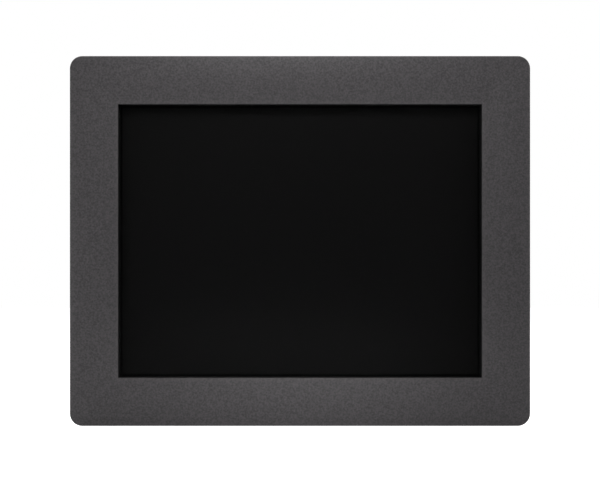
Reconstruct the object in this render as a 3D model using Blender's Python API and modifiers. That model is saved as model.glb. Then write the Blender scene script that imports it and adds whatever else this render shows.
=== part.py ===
"""Panel-mount tablet computer: a 15-inch 4:3 touch screen in a flat metal bezel, with its computer behind it.

The whole instrument passes through a rectangular cut-out in a control panel from the front. The bezel
stops on the panel, and six screw clamps hooked into the sides of the display housing pull it tight.

Axes: X runs to the right as seen from the front, the screen faces -Y, and Z is up.
Origin: the centre of the panel cut-out, on the rear face of the bezel.
Every length below is in millimetres. The helpers turn them into Blender's metres.
"""

import math

import bmesh
import bpy
from mathutils import Matrix, Vector

MM = 0.001
GAP = 0.3  # clearance between neighbouring pieces
SHEET = 1.5  # sheet metal of both housings and the rear cover
X, Y, Z = 0, 1, 2

# Bezel and its window
BEZEL_WIDTH = 392.0
BEZEL_HEIGHT = 315.0
BEZEL_THICKNESS = 4.0
BEZEL_CORNER = 10.5
BEZEL_EDGE = 0.5
WINDOW_WIDTH = 310.2
WINDOW_HEIGHT = 233.2
STUD_RADIUS = 1.5
STUD_LENGTH = 7.0
STUD_HOLE = 1.9

# Panel gasket, seated on the flange outside the cut-out
GASKET_THICKNESS = 2.0
GASKET_OUTER = (384.0, 307.0)
GASKET_INNER = (367.0, 290.0)

# Touch glass and its seal
SEAL_WIDTH = 4.0
SEAL_THICKNESS = 0.9
GLASS_SIZE = (322.0, 245.0)
GLASS_THICKNESS = 3.0

# Display module
LCD_SIZE = (326.5, 253.5)
LCD_OPENING = (307.4, 231.3)
LCD_CELL = (315.0, 238.0)
LCD_TRAY = (324.0, 251.0)
LCD_FRONT = 4.8
LCD_SKIN = 0.8
LCD_FRAME_REAR = 12.8
LCD_REAR = 16.5
LCD_BRACKET_HEIGHT = 220.0

# Display housing: a pan that is open at the front
PAN_WIDTH = 360.0
PAN_HEIGHT = 283.0
PAN_REAR = 24.0
PAN_CORNER = 3.0
PAN_LIP = 10.0

# Computer housing: a box on the back of the pan, open at both ends
BOX_WIDTH = 300.0
BOX_HEIGHT = 200.0
BOX_REAR = 52.0
BOX_LIP = 9.0
BOX_FLANGE = 12.0

# Heat sink on the rear cover
SINK_WIDTH = 196.0
SINK_HEIGHT = 160.0
SINK_BASE = 4.0
FIN_HEIGHT = 11.0
FIN_THICKNESS = 1.8
FIN_PITCH = 8.0
FIN_COUNT = 23
VESA_SPACING = 100.0
VESA_BOSS = 16.0
VESA_RISE = 1.0  # the bosses stand this much above the fins
VESA_THREAD_RADIUS = 2.0
VESA_THREAD_DEPTH = 10.0

# Main board, 170 mm square, carried on four pillars
BOARD_LEFT = -28.0
BOARD_BOTTOM = -95.0
BOARD_SIDE = 170.0
BOARD_FRONT = 29.0
BOARD_THICKNESS = 1.6
BOARD_HOLE_INSET = 6.35
PROCESSOR = (45.0, 5.0)
PROCESSOR_SIDE = 35.0
SPREADER_SIDE = 50.0

# Connectors in the bottom wall of the computer housing: name and place along X
PORT_PLACES = {
    "power_inlet": -6.0,
    "serial_port": 24.0,
    "video_port": 51.0,
    "lan_port_1": 72.0,
    "lan_port_2": 91.0,
    "usb_ports_bottom": 109.0,
}
PORT_PROUD = 0.5  # how far a connector stands out of the wall
LAN_SIZE = (16.0, 13.4, 21.3)
LAN_SOCKET = (11.9, 8.6, 13.0)
USB_SIZE = (13.3, 15.6, 17.8)
USB_SOCKET = (12.0, 5.0, 11.0)
USB_RISE = 8.0
USB_SIDE_Z = -40.0
INLET_SIZE = (18.0, 10.4, 13.0)
INLET_SOCKET = (15.6, 8.0, 9.5)
VIDEO_SIZE = (17.6, 7.4, 14.0)
VIDEO_SOCKET = (16.2, 5.0, 8.0)
VIDEO_TONGUE = 2.2
SERIAL_FLANGE = (30.8, 12.5)
SERIAL_SHELL = (17.2, 9.2)
SERIAL_SHELL_LENGTH = 5.5
SERIAL_JACK_X = 12.5

# Storage drive in a tray that slides out of the left wall
DRIVE_CENTRE_Z = -45.0
DRIVE_SIZE = (100.0, 7.0, 70.0)
TRAY_FLOOR_Y = 27.5
TRAY_SHEET = 1.2
TRAY_WIDTH = 80.0
TRAY_DEPTH = 106.0
TRAY_WALL_TOP = 37.5
TRAY_FACE = (2.0, 14.0, 102.0)
TRAY_SLOT_CLEARANCE = 0.7
THUMBSCREW_Z = 46.0  # from the middle of the tray
THUMB_RADIUS = 4.5
THUMB_LENGTH = 7.6

# Switches in the left wall
SWITCH_Y = 38.0
ROCKER_Z = 62.0
ROCKER_BODY = (12.7, 19.0)
ROCKER_FLANGE = (15.5, 22.0)
ROCKER_PIVOT_INSET = 0.5  # from the outer face of the wall, outwards
ROCKER_TILT = math.radians(12.0)
ROCKER_HALF = 7.2
ROCKER_WIDTH = 10.2
BUTTON_Z = 85.0
BUTTON_RADIUS = 2.5
BUTTON_BOARD_HALF = 12.0

# The touch controller's and the backlight driver's boards, on the pan's rear wall
SMALL_BOARD_Z = (98.0, 123.0)

# Clamps: side, place along the wall. The side clamps stand clear of the drive tray's way out.
SIDE_CLAMP_Z = 24.0
CLAMPS = {
    "top_left": ("top", -130.0),
    "top_right": ("top", 130.0),
    "bottom_left": ("bottom", -130.0),
    "bottom_right": ("bottom", 130.0),
    "left": ("left", SIDE_CLAMP_Z),
    "right": ("right", SIDE_CLAMP_Z),
}
CLAMP_AXIS = 8.0  # screw axis, from the outer face of the wall
CLAMP_FOOT_WIDTH = 18.0
CLAMP_FOOT_Y = (11.0, 25.0)
CLAMP_FOOT_TOP = 2.8
CLAMP_BOSS_WIDTH = 13.0
CLAMP_BOSS_Y = (20.0, 30.0)
CLAMP_BOSS_TOP = 13.0
CLAMP_SCREW_RADIUS = 2.0
CLAMP_HOLE_RADIUS = 2.35
CLAMP_PAD_FRONT = 12.0
CLAMP_PAD_RADIUS = 4.0
CLAMP_PAD_LENGTH = 5.0
CLAMP_PAD_FLOOR = 1.5
CLAMP_HEAD_Y = 41.0
CLAMP_HEAD_RADIUS = 4.0
CLAMP_HEAD_HEIGHT = 3.2
HOOK_WIDTH = 10.0
HOOK_NECK_Y = (16.8, 19.0)
HOOK_TIP_Y = 14.5
HOOK_DEPTH = 3.1  # from the outer face of the wall
HOOK_SLOT_Y = (16.5, 21.5)
HOOK_SLOT_SIDE = 0.4  # clearance of the hook in its slot, each side

# Vents
VENT_WIDTH = 2.6
VENT_PITCH = 7.0
PAN_VENTS_Z = (118.0, 132.0)
PAN_VENT_COUNT = 15
BOX_VENTS_Y = (30.0, 46.0)
TOP_VENT_COUNT = 31
BOTTOM_VENTS_Y = (41.0, 48.0)
BOTTOM_VENT_COUNT = 12
BOTTOM_VENTS_X = -30.0
RIGHT_VENT_COUNT = 10
RIGHT_VENTS_Z = 14.0
COVER_VENTS_X = (104.0, 134.0)
COVER_VENT_COUNT = 19

# Openings in the pan's rear wall for the cables: low and high corners, as X and Z
CABLE_WAYS = (((-110.0, 60.0), (-60.0, 80.0)), ((60.0, 78.0), (100.0, 92.0)))

# Screws
SCREW_RADIUS = 1.5
SCREW_HOLE = 1.9
SCREW_HEAD_RADIUS = 2.8
SCREW_HEAD_HEIGHT = 1.9
SCREW_LENGTH = 8.0
TAPPED_HOLE = 1.4
GROUND_SCREW_Z = -80.0
GROUND_SCREW_RADIUS = 2.0
GROUND_SCREW_HOLE = 2.35
GROUND_HEAD_RADIUS = 4.0
GROUND_HEAD_HEIGHT = 2.6

FINISHES = {
    "powder_coat": ((0.069, 0.066, 0.068), 0.62, 0.3),
    "rear_powder_coat": ((0.045, 0.045, 0.048), 0.6, 0.3),
    "rubber": ((0.012, 0.012, 0.012), 0.9, 0.0),
    "screen_glass": ((0.006, 0.006, 0.006), 0.35, 0.0),
    "black_steel": ((0.01, 0.01, 0.011), 0.5, 0.3),
    "stamped_steel": ((0.55, 0.56, 0.57), 0.35, 0.9),
    "zinc_steel": ((0.62, 0.62, 0.6), 0.35, 0.95),
    "aluminium": ((0.72, 0.73, 0.74), 0.38, 0.95),
    "lcd_cell": ((0.004, 0.004, 0.004), 0.3, 0.0),
    "circuit_board": ((0.02, 0.11, 0.05), 0.45, 0.0),
    "black_plastic": ((0.015, 0.015, 0.016), 0.5, 0.0),
    "white_plastic": ((0.75, 0.75, 0.72), 0.4, 0.0),
}

PARTS = bpy.data.collections.new("tablet_computer")
CUTTERS = bpy.data.collections.new("cutters")


# Shapes, each a bmesh in millimetres


def box(low, high):
    """A box between two corners."""
    shape = bmesh.new()
    bmesh.ops.create_cube(shape, size=1.0)
    size = Vector(high) - Vector(low)
    centre = (Vector(high) + Vector(low)) / 2
    matrix = Matrix.Translation(centre) @ Matrix.Diagonal((*size, 1.0))
    bmesh.ops.transform(shape, matrix=matrix, verts=shape.verts)
    return shape


def rounded_box(low, high, axis, radius, segments=6):
    """A box whose four edges along one axis are rounded."""
    shape = box(low, high)
    edges = [e for e in shape.edges if abs((e.verts[0].co - e.verts[1].co)[axis]) > 1e-6]
    bmesh.ops.bevel(
        shape, geom=edges, offset=radius, segments=segments, profile=0.5, affect="EDGES"
    )
    return shape


def centred_plate(size, front, rear, radius=0.0):
    """A plate across X and Z, centred on the screen's axis, from one depth to another."""
    low = (-size[0] / 2, front, -size[1] / 2)
    high = (size[0] / 2, rear, size[1] / 2)
    return rounded_box(low, high, Y, radius) if radius else box(low, high)


def cylinder(start, end, radius, sides=16):
    """A cylinder between two points."""
    shape = bmesh.new()
    along = Vector(end) - Vector(start)
    turn = along.to_track_quat("Z", "Y").to_matrix().to_4x4()
    place = Matrix.Translation((Vector(start) + Vector(end)) / 2) @ turn
    bmesh.ops.create_cone(
        shape,
        cap_ends=True,
        segments=sides,
        radius1=radius,
        radius2=radius,
        depth=along.length,
        matrix=place,
    )
    return shape


def gathered(shapes):
    """Several shapes that don't touch, as one bmesh."""
    whole = bmesh.new()
    for shape in shapes:
        scratch = bpy.data.meshes.new("scratch")
        shape.to_mesh(scratch)
        shape.free()
        whole.from_mesh(scratch)
        bpy.data.meshes.remove(scratch)
    return whole


# Objects


def make_finish(name):
    """The Principled material of this name."""
    colour, roughness, metallic = FINISHES[name]
    material = bpy.data.materials.new(name)
    material.use_nodes = True
    shader = material.node_tree.nodes["Principled BSDF"]
    shader.inputs["Base Color"].default_value = (*colour, 1.0)
    shader.inputs["Roughness"].default_value = roughness
    shader.inputs["Metallic"].default_value = metallic
    return material


def add_object(name, shape, collection, pivot, parent):
    """An object from a shape, in metres, with its origin at the pivot."""
    place = Matrix.Diagonal((MM, MM, MM, 1.0)) @ Matrix.Translation(-Vector(pivot))
    bmesh.ops.transform(shape, matrix=place, verts=shape.verts)
    mesh = bpy.data.meshes.new(name)
    shape.to_mesh(mesh)
    shape.free()
    made = bpy.data.objects.new(name, mesh)
    made.location = Vector(pivot) * MM
    made.parent = parent
    collection.objects.link(made)
    return made


def add_part(name, shape, finish, pivot=(0.0, 0.0, 0.0), parent=None):
    """One piece of the product."""
    made = add_object(name, shape, PARTS, pivot, parent)
    made.data.materials.append(bpy.data.materials[finish])
    return made


def combine(part, shape, operation):
    """Applies one Boolean to a part, with a hidden helper in the part's own parent frame."""
    name = f"{part.name}_{operation.lower()}_{len(part.modifiers)}"
    helper = add_object(name, shape, CUTTERS, (0.0, 0.0, 0.0), part.parent)
    helper.hide_render = True
    helper.display_type = "WIRE"
    modifier = part.modifiers.new(name, "BOOLEAN")
    modifier.operation = operation
    modifier.solver = "EXACT"
    modifier.object = helper


def cut(part, *shapes):
    """Removes each shape from a part."""
    for shape in shapes:
        combine(part, shape, "DIFFERENCE")


def join(part, *shapes):
    """Adds each shape to a part."""
    for shape in shapes:
        combine(part, shape, "UNION")


def bevel(part, width, segments=2, angle=40.0):
    """Rounds the sharp edges of a part."""
    modifier = part.modifiers.new("edge", "BEVEL")
    modifier.width = width * MM
    modifier.segments = segments
    modifier.limit_method = "ANGLE"
    modifier.angle_limit = math.radians(angle)


def turned(name, profile, finish, pivot, direction, parent=None, steps=16):
    """A turned piece. The profile is (radius, height) pairs from its top down its outer side."""
    mesh = bpy.data.meshes.new(name)
    points = [(radius * MM, 0.0, height * MM) for radius, height in profile]
    edges = [(i, i + 1) for i in range(len(points) - 1)]
    mesh.from_pydata(points, edges, [])
    made = bpy.data.objects.new(name, mesh)
    made.location = Vector(pivot) * MM
    made.rotation_mode = "QUATERNION"
    made.rotation_quaternion = Vector((0.0, 0.0, 1.0)).rotation_difference(Vector(direction))
    made.parent = parent
    PARTS.objects.link(made)
    made.data.materials.append(bpy.data.materials[finish])
    spin = made.modifiers.new("turn", "SCREW")
    spin.axis = "Z"
    spin.angle = math.tau
    spin.steps = steps
    spin.render_steps = steps
    spin.use_merge_vertices = True
    spin.merge_threshold = 0.00001
    return made


def screw_profile(head_radius, head_height, shank_radius, shank_length):
    """A pan-head screw standing on its head's underside: head above height 0, shank below."""
    rim = 0.25 * head_height
    return [
        (0.0, head_height),
        (head_radius - rim, head_height),
        (head_radius, head_height - rim),
        (head_radius, 0.0),
        (shank_radius, 0.0),
        (shank_radius, 0.3 - shank_length),
        (shank_radius - 0.3, -shank_length),
        (0.0, -shank_length),
    ]


def cross_recess(part, centre, axis, size, depth):
    """Cuts a cross recess into a screw head, whose top is at the centre given."""
    across = [i for i in (X, Y, Z) if i != axis]
    for first, second in (across, across[::-1]):
        half = Vector((0.0, 0.0, 0.0))
        half[axis] = depth
        half[first] = size / 2
        half[second] = size / 9
        cut(part, box(Vector(centre) - half, Vector(centre) + half))


# Front


def stud_places():
    """Where the bezel's welded studs stand, as X and Z."""
    side_x = PAN_WIDTH / 2 - SHEET - PAN_LIP / 2
    top_z = PAN_HEIGHT / 2 - SHEET - PAN_LIP / 2
    sides = [(sign * side_x, z) for sign in (-1, 1) for z in (-70.0, 70.0)]
    ends = [(x, sign * top_z) for sign in (-1, 1) for x in (-90.0, 90.0)]
    return sides + ends


def build_bezel():
    """The flat bezel with its window and the studs on its back."""
    plate = centred_plate((BEZEL_WIDTH, BEZEL_HEIGHT), -BEZEL_THICKNESS, 0.0, BEZEL_CORNER)
    bezel = add_part("front_bezel", plate, "powder_coat")
    bevel(bezel, BEZEL_EDGE)
    cut(bezel, centred_plate((WINDOW_WIDTH, WINDOW_HEIGHT), -BEZEL_THICKNESS - 1.0, 1.0))
    studs = [cylinder((x, -1.0, z), (x, STUD_LENGTH, z), STUD_RADIUS, 10) for x, z in stud_places()]
    join(bezel, gathered(studs))


def build_ring(name, outer, inner, front, rear, finish, radius=0.0):
    """A flat rectangular ring."""
    ring = add_part(name, centred_plate(outer, front, rear, radius), finish)
    cut(ring, centred_plate(inner, front - 1.0, rear + 1.0))
    return ring


def build_glass():
    """The panel gasket, the seal round the window and the touch glass behind it."""
    build_ring("panel_gasket", GASKET_OUTER, GASKET_INNER, GAP, GAP + GASKET_THICKNESS, "rubber", 7.0)
    inner = (WINDOW_WIDTH + 1.0, WINDOW_HEIGHT + 1.0)
    outer = (inner[0] + 2 * SEAL_WIDTH, inner[1] + 2 * SEAL_WIDTH)
    build_ring("window_seal", outer, inner, GAP, GAP + SEAL_THICKNESS, "rubber")
    front = 2 * GAP + SEAL_THICKNESS
    pane = add_part("touch_glass", centred_plate(GLASS_SIZE, front, front + GLASS_THICKNESS), "screen_glass")
    bevel(pane, 0.4, 1)


def build_display_module():
    """The display module: stamped frame, cell, backlight tray and the two brackets that hold it."""
    frame = add_part("lcd_frame", centred_plate(LCD_SIZE, LCD_FRONT, LCD_FRAME_REAR), "black_steel")
    hollow = (LCD_SIZE[0] - 2 * LCD_SKIN, LCD_SIZE[1] - 2 * LCD_SKIN)
    cut(frame, centred_plate(hollow, LCD_FRONT + LCD_SKIN, LCD_FRAME_REAR + 1.0))
    cut(frame, centred_plate(LCD_OPENING, LCD_FRONT - 1.0, LCD_FRONT + LCD_SKIN + 1.0))
    cell_front = LCD_FRONT + LCD_SKIN + GAP
    cell_rear = cell_front + 1.7
    add_part("lcd_cell", centred_plate(LCD_CELL, cell_front, cell_rear), "lcd_cell")
    add_part("lcd_backlight", centred_plate(LCD_TRAY, cell_rear + GAP, LCD_REAR), "white_plastic")
    for name, side in (("left", -1), ("right", 1)):
        build_display_bracket(f"lcd_bracket_{name}", side)


def build_display_bracket(name, side):
    """An angle along one end of the display module, held by the bezel's studs."""
    inner = LCD_SIZE[0] / 2 + GAP
    front = GAP + SHEET + GAP
    half = LCD_BRACKET_HEIGHT / 2
    wall = PAN_WIDTH / 2 - SHEET - GAP

    def across(x):
        return side * x

    def leg(first, second, rear):
        xs = sorted((across(first), across(second)))
        return box((xs[0], front, -half), (xs[1], rear, half))

    bracket = add_part(name, leg(inner, inner + SHEET, LCD_REAR), "zinc_steel")
    join(bracket, leg(inner, wall, front + SHEET))
    holes = [
        cylinder((x, front - 1.0, z), (x, front + SHEET + 1.0, z), STUD_HOLE, 12)
        for x, z in stud_places()
        if x * side > inner and abs(z) < half
    ]
    cut(bracket, gathered(holes))


# Display housing and clamps


def clamp_frames():
    """One empty for each clamp, on the wall's outer face: local Z points out, local Y to the rear."""
    turns = {"top": 0.0, "right": 90.0, "bottom": 180.0, "left": -90.0}
    frames = {}
    for name, (side, along) in CLAMPS.items():
        frame = bpy.data.objects.new(f"clamp_frame_{name}", None)
        walls = {
            "top": (along, 0.0, PAN_HEIGHT / 2),
            "bottom": (along, 0.0, -PAN_HEIGHT / 2),
            "left": (-PAN_WIDTH / 2, 0.0, along),
            "right": (PAN_WIDTH / 2, 0.0, along),
        }
        frame.location = Vector(walls[side]) * MM
        frame.rotation_euler = (0.0, math.radians(turns[side]), 0.0)
        PARTS.objects.link(frame)
        frames[name] = frame
    return frames


def hook_slots():
    """The slots that the clamps hook into, as one shape across the pan's walls."""
    slots = []
    for side, along in CLAMPS.values():
        reach = PAN_WIDTH / 2 if side in ("left", "right") else PAN_HEIGHT / 2
        sign = 1 if side in ("top", "right") else -1
        ends = sorted((sign * (reach - 4.0), sign * (reach + 1.0)))
        half = HOOK_WIDTH / 2 + HOOK_SLOT_SIDE
        front, rear = HOOK_SLOT_Y
        if side in ("left", "right"):
            slots.append(box((ends[0], front, along - half), (ends[1], rear, along + half)))
        else:
            slots.append(box((along - half, front, ends[0]), (along + half, rear, ends[1])))
    return gathered(slots)


def pillar_places():
    """Where the main board's pillars stand, as X and Z."""
    near = BOARD_HOLE_INSET
    far = BOARD_SIDE - BOARD_HOLE_INSET
    return [(BOARD_LEFT + i, BOARD_BOTTOM + j) for i in (near, far) for j in (near, far)]


def flange_screw_places():
    """Where the computer housing is screwed to the pan, as X and Z."""
    x = BOX_WIDTH / 2 + BOX_FLANGE / 2
    z = BOX_HEIGHT / 2 + BOX_FLANGE / 2
    return [(i * x, j * z) for i in (-1, 1) for j in (-0.6, 0.6)] + [
        (i * 0.75 * x, j * z) for i in (-1, 1) for j in (-1, 1)
    ]


def build_display_housing():
    """The pan behind the bezel: lipped at the front, with vents, hook slots and board pillars."""
    size = (PAN_WIDTH, PAN_HEIGHT)
    inner = (PAN_WIDTH - 2 * SHEET, PAN_HEIGHT - 2 * SHEET)
    mouth = (inner[0] - 2 * PAN_LIP, inner[1] - 2 * PAN_LIP)
    pan = add_part("display_housing", centred_plate(size, GAP, PAN_REAR, PAN_CORNER), "rear_powder_coat")
    cut(pan, centred_plate(inner, GAP + SHEET, PAN_REAR - SHEET))
    cut(pan, centred_plate(mouth, -1.0, GAP + SHEET + 1.0))
    cut(pan, hook_slots())
    lip_holes = [cylinder((x, -1.0, z), (x, 3.0, z), STUD_HOLE, 12) for x, z in stud_places()]
    wall_holes = [
        cylinder((x, PAN_REAR - 3.0, z), (x, PAN_REAR + 1.0, z), TAPPED_HOLE, 12)
        for x, z in flange_screw_places()
    ]
    cable_ways = [
        box((low[0], PAN_REAR - 3.0, low[1]), (high[0], PAN_REAR + 1.0, high[1]))
        for low, high in CABLE_WAYS
    ]
    cut(pan, gathered(lip_holes + wall_holes + cable_ways))
    cut(pan, gathered(pan_vents()))
    pillars = [
        cylinder((x, PAN_REAR - 0.5, z), (x, BOARD_FRONT - GAP, z), 3.0, 12)
        for x, z in pillar_places()
    ]
    join(pan, gathered(pillars))


def pan_vents():
    """Upright slots through the pan's rear wall, above and below the computer housing."""
    slots = []
    near, far = PAN_VENTS_Z
    for low, high in ((near, far), (-far, -near)):
        for i in range(PAN_VENT_COUNT):
            x = (i - (PAN_VENT_COUNT - 1) / 2) * 2 * VENT_PITCH
            slots.append(
                box(
                    (x - VENT_WIDTH / 2, PAN_REAR - 3.0, low),
                    (x + VENT_WIDTH / 2, PAN_REAR + 1.0, high),
                )
            )
    return slots


def build_clamps():
    """Six screw clamps, each a hooked bracket, a screw and the pad on the screw's tip."""
    for name, frame in clamp_frames().items():
        build_clamp_bracket(f"clamp_bracket_{name}", frame)
        build_clamp_pad(f"clamp_pad_{name}", frame)
        build_clamp_screw(f"clamp_screw_{name}", frame)


def build_clamp_bracket(name, frame):
    """The bracket: a foot on the wall, a hook through its slot and a boss for the screw."""
    half = CLAMP_FOOT_WIDTH / 2
    boss = CLAMP_BOSS_WIDTH / 2
    hook = HOOK_WIDTH / 2
    foot_front, foot_rear = CLAMP_FOOT_Y
    boss_front, boss_rear = CLAMP_BOSS_Y
    neck_front, neck_rear = HOOK_NECK_Y
    foot = box((-half, foot_front, GAP), (half, foot_rear, CLAMP_FOOT_TOP))
    bracket = add_part(name, foot, "zinc_steel", parent=frame)
    join(bracket, box((-boss, boss_front, 2.0), (boss, boss_rear, CLAMP_BOSS_TOP)))
    join(bracket, box((-hook, neck_front, 0.2 - HOOK_DEPTH), (hook, neck_rear, 1.0)))
    join(bracket, box((-hook, HOOK_TIP_Y, -HOOK_DEPTH), (hook, neck_rear, -SHEET - GAP)))
    hole_front = (0.0, boss_front - 1.0, CLAMP_AXIS)
    cut(bracket, cylinder(hole_front, (0.0, boss_rear + 1.0, CLAMP_AXIS), CLAMP_HOLE_RADIUS))


def build_clamp_pad(name, frame):
    """The plastic cap on the screw's tip, which presses on the panel without turning."""
    radius = CLAMP_PAD_RADIUS
    bore = CLAMP_HOLE_RADIUS
    profile = [
        (0.0, 0.0),
        (radius - 0.5, 0.0),
        (radius, -0.5),
        (radius, -CLAMP_PAD_LENGTH),
        (bore, -CLAMP_PAD_LENGTH),
        (bore, -CLAMP_PAD_FLOOR),
        (0.0, -CLAMP_PAD_FLOOR),
    ]
    turned(name, profile, "black_plastic", (0.0, CLAMP_PAD_FRONT, CLAMP_AXIS), (0.0, -1.0, 0.0), frame)


def build_clamp_screw(name, frame):
    """The M4 screw, with its origin under its head on its own axis."""
    length = CLAMP_HEAD_Y - CLAMP_PAD_FRONT - CLAMP_PAD_FLOOR - GAP
    profile = screw_profile(CLAMP_HEAD_RADIUS, CLAMP_HEAD_HEIGHT, CLAMP_SCREW_RADIUS, length)
    pivot = (0.0, CLAMP_HEAD_Y, CLAMP_AXIS)
    made = turned(name, profile, "zinc_steel", pivot, (0.0, 1.0, 0.0), frame)
    cross_recess(made, (0.0, CLAMP_HEAD_Y + CLAMP_HEAD_HEIGHT, CLAMP_AXIS), Y, 4.6, 1.8)


# Computer housing, rear cover and heat sink


def port_openings():
    """The cut-outs in the computer housing for what sits in its walls."""
    deck = BOARD_FRONT + BOARD_THICKNESS + GAP
    bottom = -BOX_HEIGHT / 2
    sizes = {
        "power_inlet": INLET_SIZE[:2],
        "video_port": VIDEO_SIZE[:2],
        "lan_port_1": LAN_SIZE[:2],
        "lan_port_2": LAN_SIZE[:2],
        "usb_ports_bottom": USB_SIZE[:2],
    }
    holes = []
    for name, (width, height) in sizes.items():
        x = PORT_PLACES[name]
        half = width / 2 + GAP
        holes.append(box((x - half, deck - GAP, bottom - 1), (x + half, deck + height + GAP, bottom + 4)))
    serial_x = PORT_PLACES["serial_port"]
    middle = deck + SERIAL_FLANGE[1] / 2
    half_x = SERIAL_SHELL[0] / 2 + 2 * GAP
    half_y = SERIAL_SHELL[1] / 2 + 2 * GAP
    holes.append(
        box(
            (serial_x - half_x, middle - half_y, bottom - 1),
            (serial_x + half_x, middle + half_y, bottom + 4),
        )
    )
    for sign in (-1, 1):
        x = serial_x + sign * SERIAL_JACK_X
        holes.append(cylinder((x, middle, bottom - 1), (x, middle, bottom + 4), 2.0, 12))
    right = BOX_WIDTH / 2
    half = USB_SIZE[0] / 2 + GAP
    holes.append(
        box(
            (right - 4, deck - GAP, USB_SIDE_Z - half),
            (right + 1, deck + USB_SIZE[1] + GAP, USB_SIDE_Z + half),
        )
    )
    ground = (SWITCH_Y, GROUND_SCREW_Z)
    holes.append(cylinder((right - 4, *ground), (right + 1, *ground), GROUND_SCREW_HOLE))
    return holes


def left_openings():
    """The cut-outs in the left wall: the drive tray, its thumbscrews, the rocker and the button."""
    left = -BOX_WIDTH / 2
    slot = TRAY_WIDTH / 2 + TRAY_SLOT_CLEARANCE
    tray_low = TRAY_FLOOR_Y - 0.5
    holes = [
        box(
            (left - 1, tray_low, DRIVE_CENTRE_Z - slot),
            (left + 4, TRAY_WALL_TOP + 0.5, DRIVE_CENTRE_Z + slot),
        )
    ]
    for z, y in tray_screw_places():
        holes.append(cylinder((left - 1, y, z), (left + 4, y, z), SCREW_HOLE, 12))
    half_y = ROCKER_BODY[0] / 2 + GAP
    half_z = ROCKER_BODY[1] / 2 + GAP
    holes.append(
        box(
            (left - 1, SWITCH_Y - half_y, ROCKER_Z - half_z),
            (left + 4, SWITCH_Y + half_y, ROCKER_Z + half_z),
        )
    )
    button = BUTTON_RADIUS + GAP
    holes.append(cylinder((left - 1, SWITCH_Y, BUTTON_Z), (left + 4, SWITCH_Y, BUTTON_Z), button))
    return holes


def box_vents():
    """Slots in the top wall, the bottom wall beside the connectors and the right wall."""
    half = VENT_WIDTH / 2
    top = BOX_HEIGHT / 2
    right = BOX_WIDTH / 2
    slots = []
    front, rear = BOX_VENTS_Y
    for i in range(TOP_VENT_COUNT):
        x = (i - (TOP_VENT_COUNT - 1) / 2) * VENT_PITCH
        slots.append(box((x - half, front, top - 4), (x + half, rear, top + 1)))
    for i in range(RIGHT_VENT_COUNT):
        z = RIGHT_VENTS_Z + i * VENT_PITCH
        slots.append(box((right - 4, front, z - half), (right + 1, rear, z + half)))
    front, rear = BOTTOM_VENTS_Y
    for i in range(BOTTOM_VENT_COUNT):
        x = BOTTOM_VENTS_X - i * VENT_PITCH
        slots.append(box((x - half, front, -top - 1), (x + half, rear, -top + 4)))
    return slots


def cover_screw_places():
    """Where the rear cover's screws sit, as X and Z."""
    x = BOX_WIDTH / 2 - SHEET - BOX_LIP / 2
    z = BOX_HEIGHT / 2 - SHEET - BOX_LIP / 2
    return {
        "upper_left": (-x, z),
        "upper_right": (x, z),
        "lower_left": (-x, -z),
        "lower_right": (x, -z),
    }


def build_computer_housing():
    """The box behind the pan, with a flange at its front and a lip for the cover at its rear."""
    front = PAN_REAR + GAP
    shell = centred_plate((BOX_WIDTH, BOX_HEIGHT), front, BOX_REAR, PAN_CORNER)
    housing = add_part("computer_housing", shell, "rear_powder_coat")
    flange_size = (BOX_WIDTH + 2 * BOX_FLANGE, BOX_HEIGHT + 2 * BOX_FLANGE)
    join(housing, centred_plate(flange_size, front, front + SHEET, PAN_CORNER))
    inner = (BOX_WIDTH - 2 * SHEET, BOX_HEIGHT - 2 * SHEET)
    mouth = (inner[0] - 2 * BOX_LIP, inner[1] - 2 * BOX_LIP)
    cut(housing, centred_plate(inner, front - 1.0, BOX_REAR - SHEET))
    cut(housing, centred_plate(mouth, BOX_REAR - SHEET - 1.0, BOX_REAR + 1.0))
    cut(housing, gathered(port_openings() + left_openings()))
    screw_holes = [
        cylinder((x, BOX_REAR - 3.0, z), (x, BOX_REAR + 1.0, z), SCREW_HOLE, 12)
        for x, z in cover_screw_places().values()
    ]
    flange_holes = [
        cylinder((x, PAN_REAR, z), (x, front + SHEET + 1.0, z), SCREW_HOLE, 12)
        for x, z in flange_screw_places()
    ]
    cut(housing, gathered(screw_holes + flange_holes))
    cut(housing, gathered(box_vents()))


def build_rear_cover():
    """The flat rear cover, vented beside the heat sink and open where the heat spreader passes."""
    front = BOX_REAR + GAP
    rear = front + SHEET
    cover = add_part(
        "rear_cover",
        centred_plate((BOX_WIDTH, BOX_HEIGHT), front, rear, PAN_CORNER),
        "rear_powder_coat",
    )
    half = SPREADER_SIDE / 2 + 2.0
    x, z = PROCESSOR
    holes = [box((x - half, front - 1, z - half), (x + half, rear + 1, z + half))]
    for hole_x, hole_z in cover_screw_places().values():
        holes.append(cylinder((hole_x, front - 1, hole_z), (hole_x, rear + 1, hole_z), SCREW_HOLE, 12))
    for side in (-1, 1):
        ends = sorted(side * x for x in COVER_VENTS_X)
        for i in range(COVER_VENT_COUNT):
            middle = (i - (COVER_VENT_COUNT - 1) / 2) * VENT_PITCH
            holes.append(
                box(
                    (ends[0], front - 1, middle - VENT_WIDTH / 2),
                    (ends[1], rear + 1, middle + VENT_WIDTH / 2),
                )
            )
    cut(cover, gathered(holes))
    for name, (x, z) in cover_screw_places().items():
        build_cover_screw(f"cover_screw_{name}", x, z, rear + GAP)


def build_cover_screw(name, x, z, seat):
    """An M3 pan-head screw through the cover into the housing's lip."""
    profile = screw_profile(SCREW_HEAD_RADIUS, SCREW_HEAD_HEIGHT, SCREW_RADIUS, SCREW_LENGTH)
    made = turned(name, profile, "zinc_steel", (x, seat, z), (0.0, 1.0, 0.0), steps=12)
    cross_recess(made, (x, seat + SCREW_HEAD_HEIGHT, z), Y, 3.4, 1.1)


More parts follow.
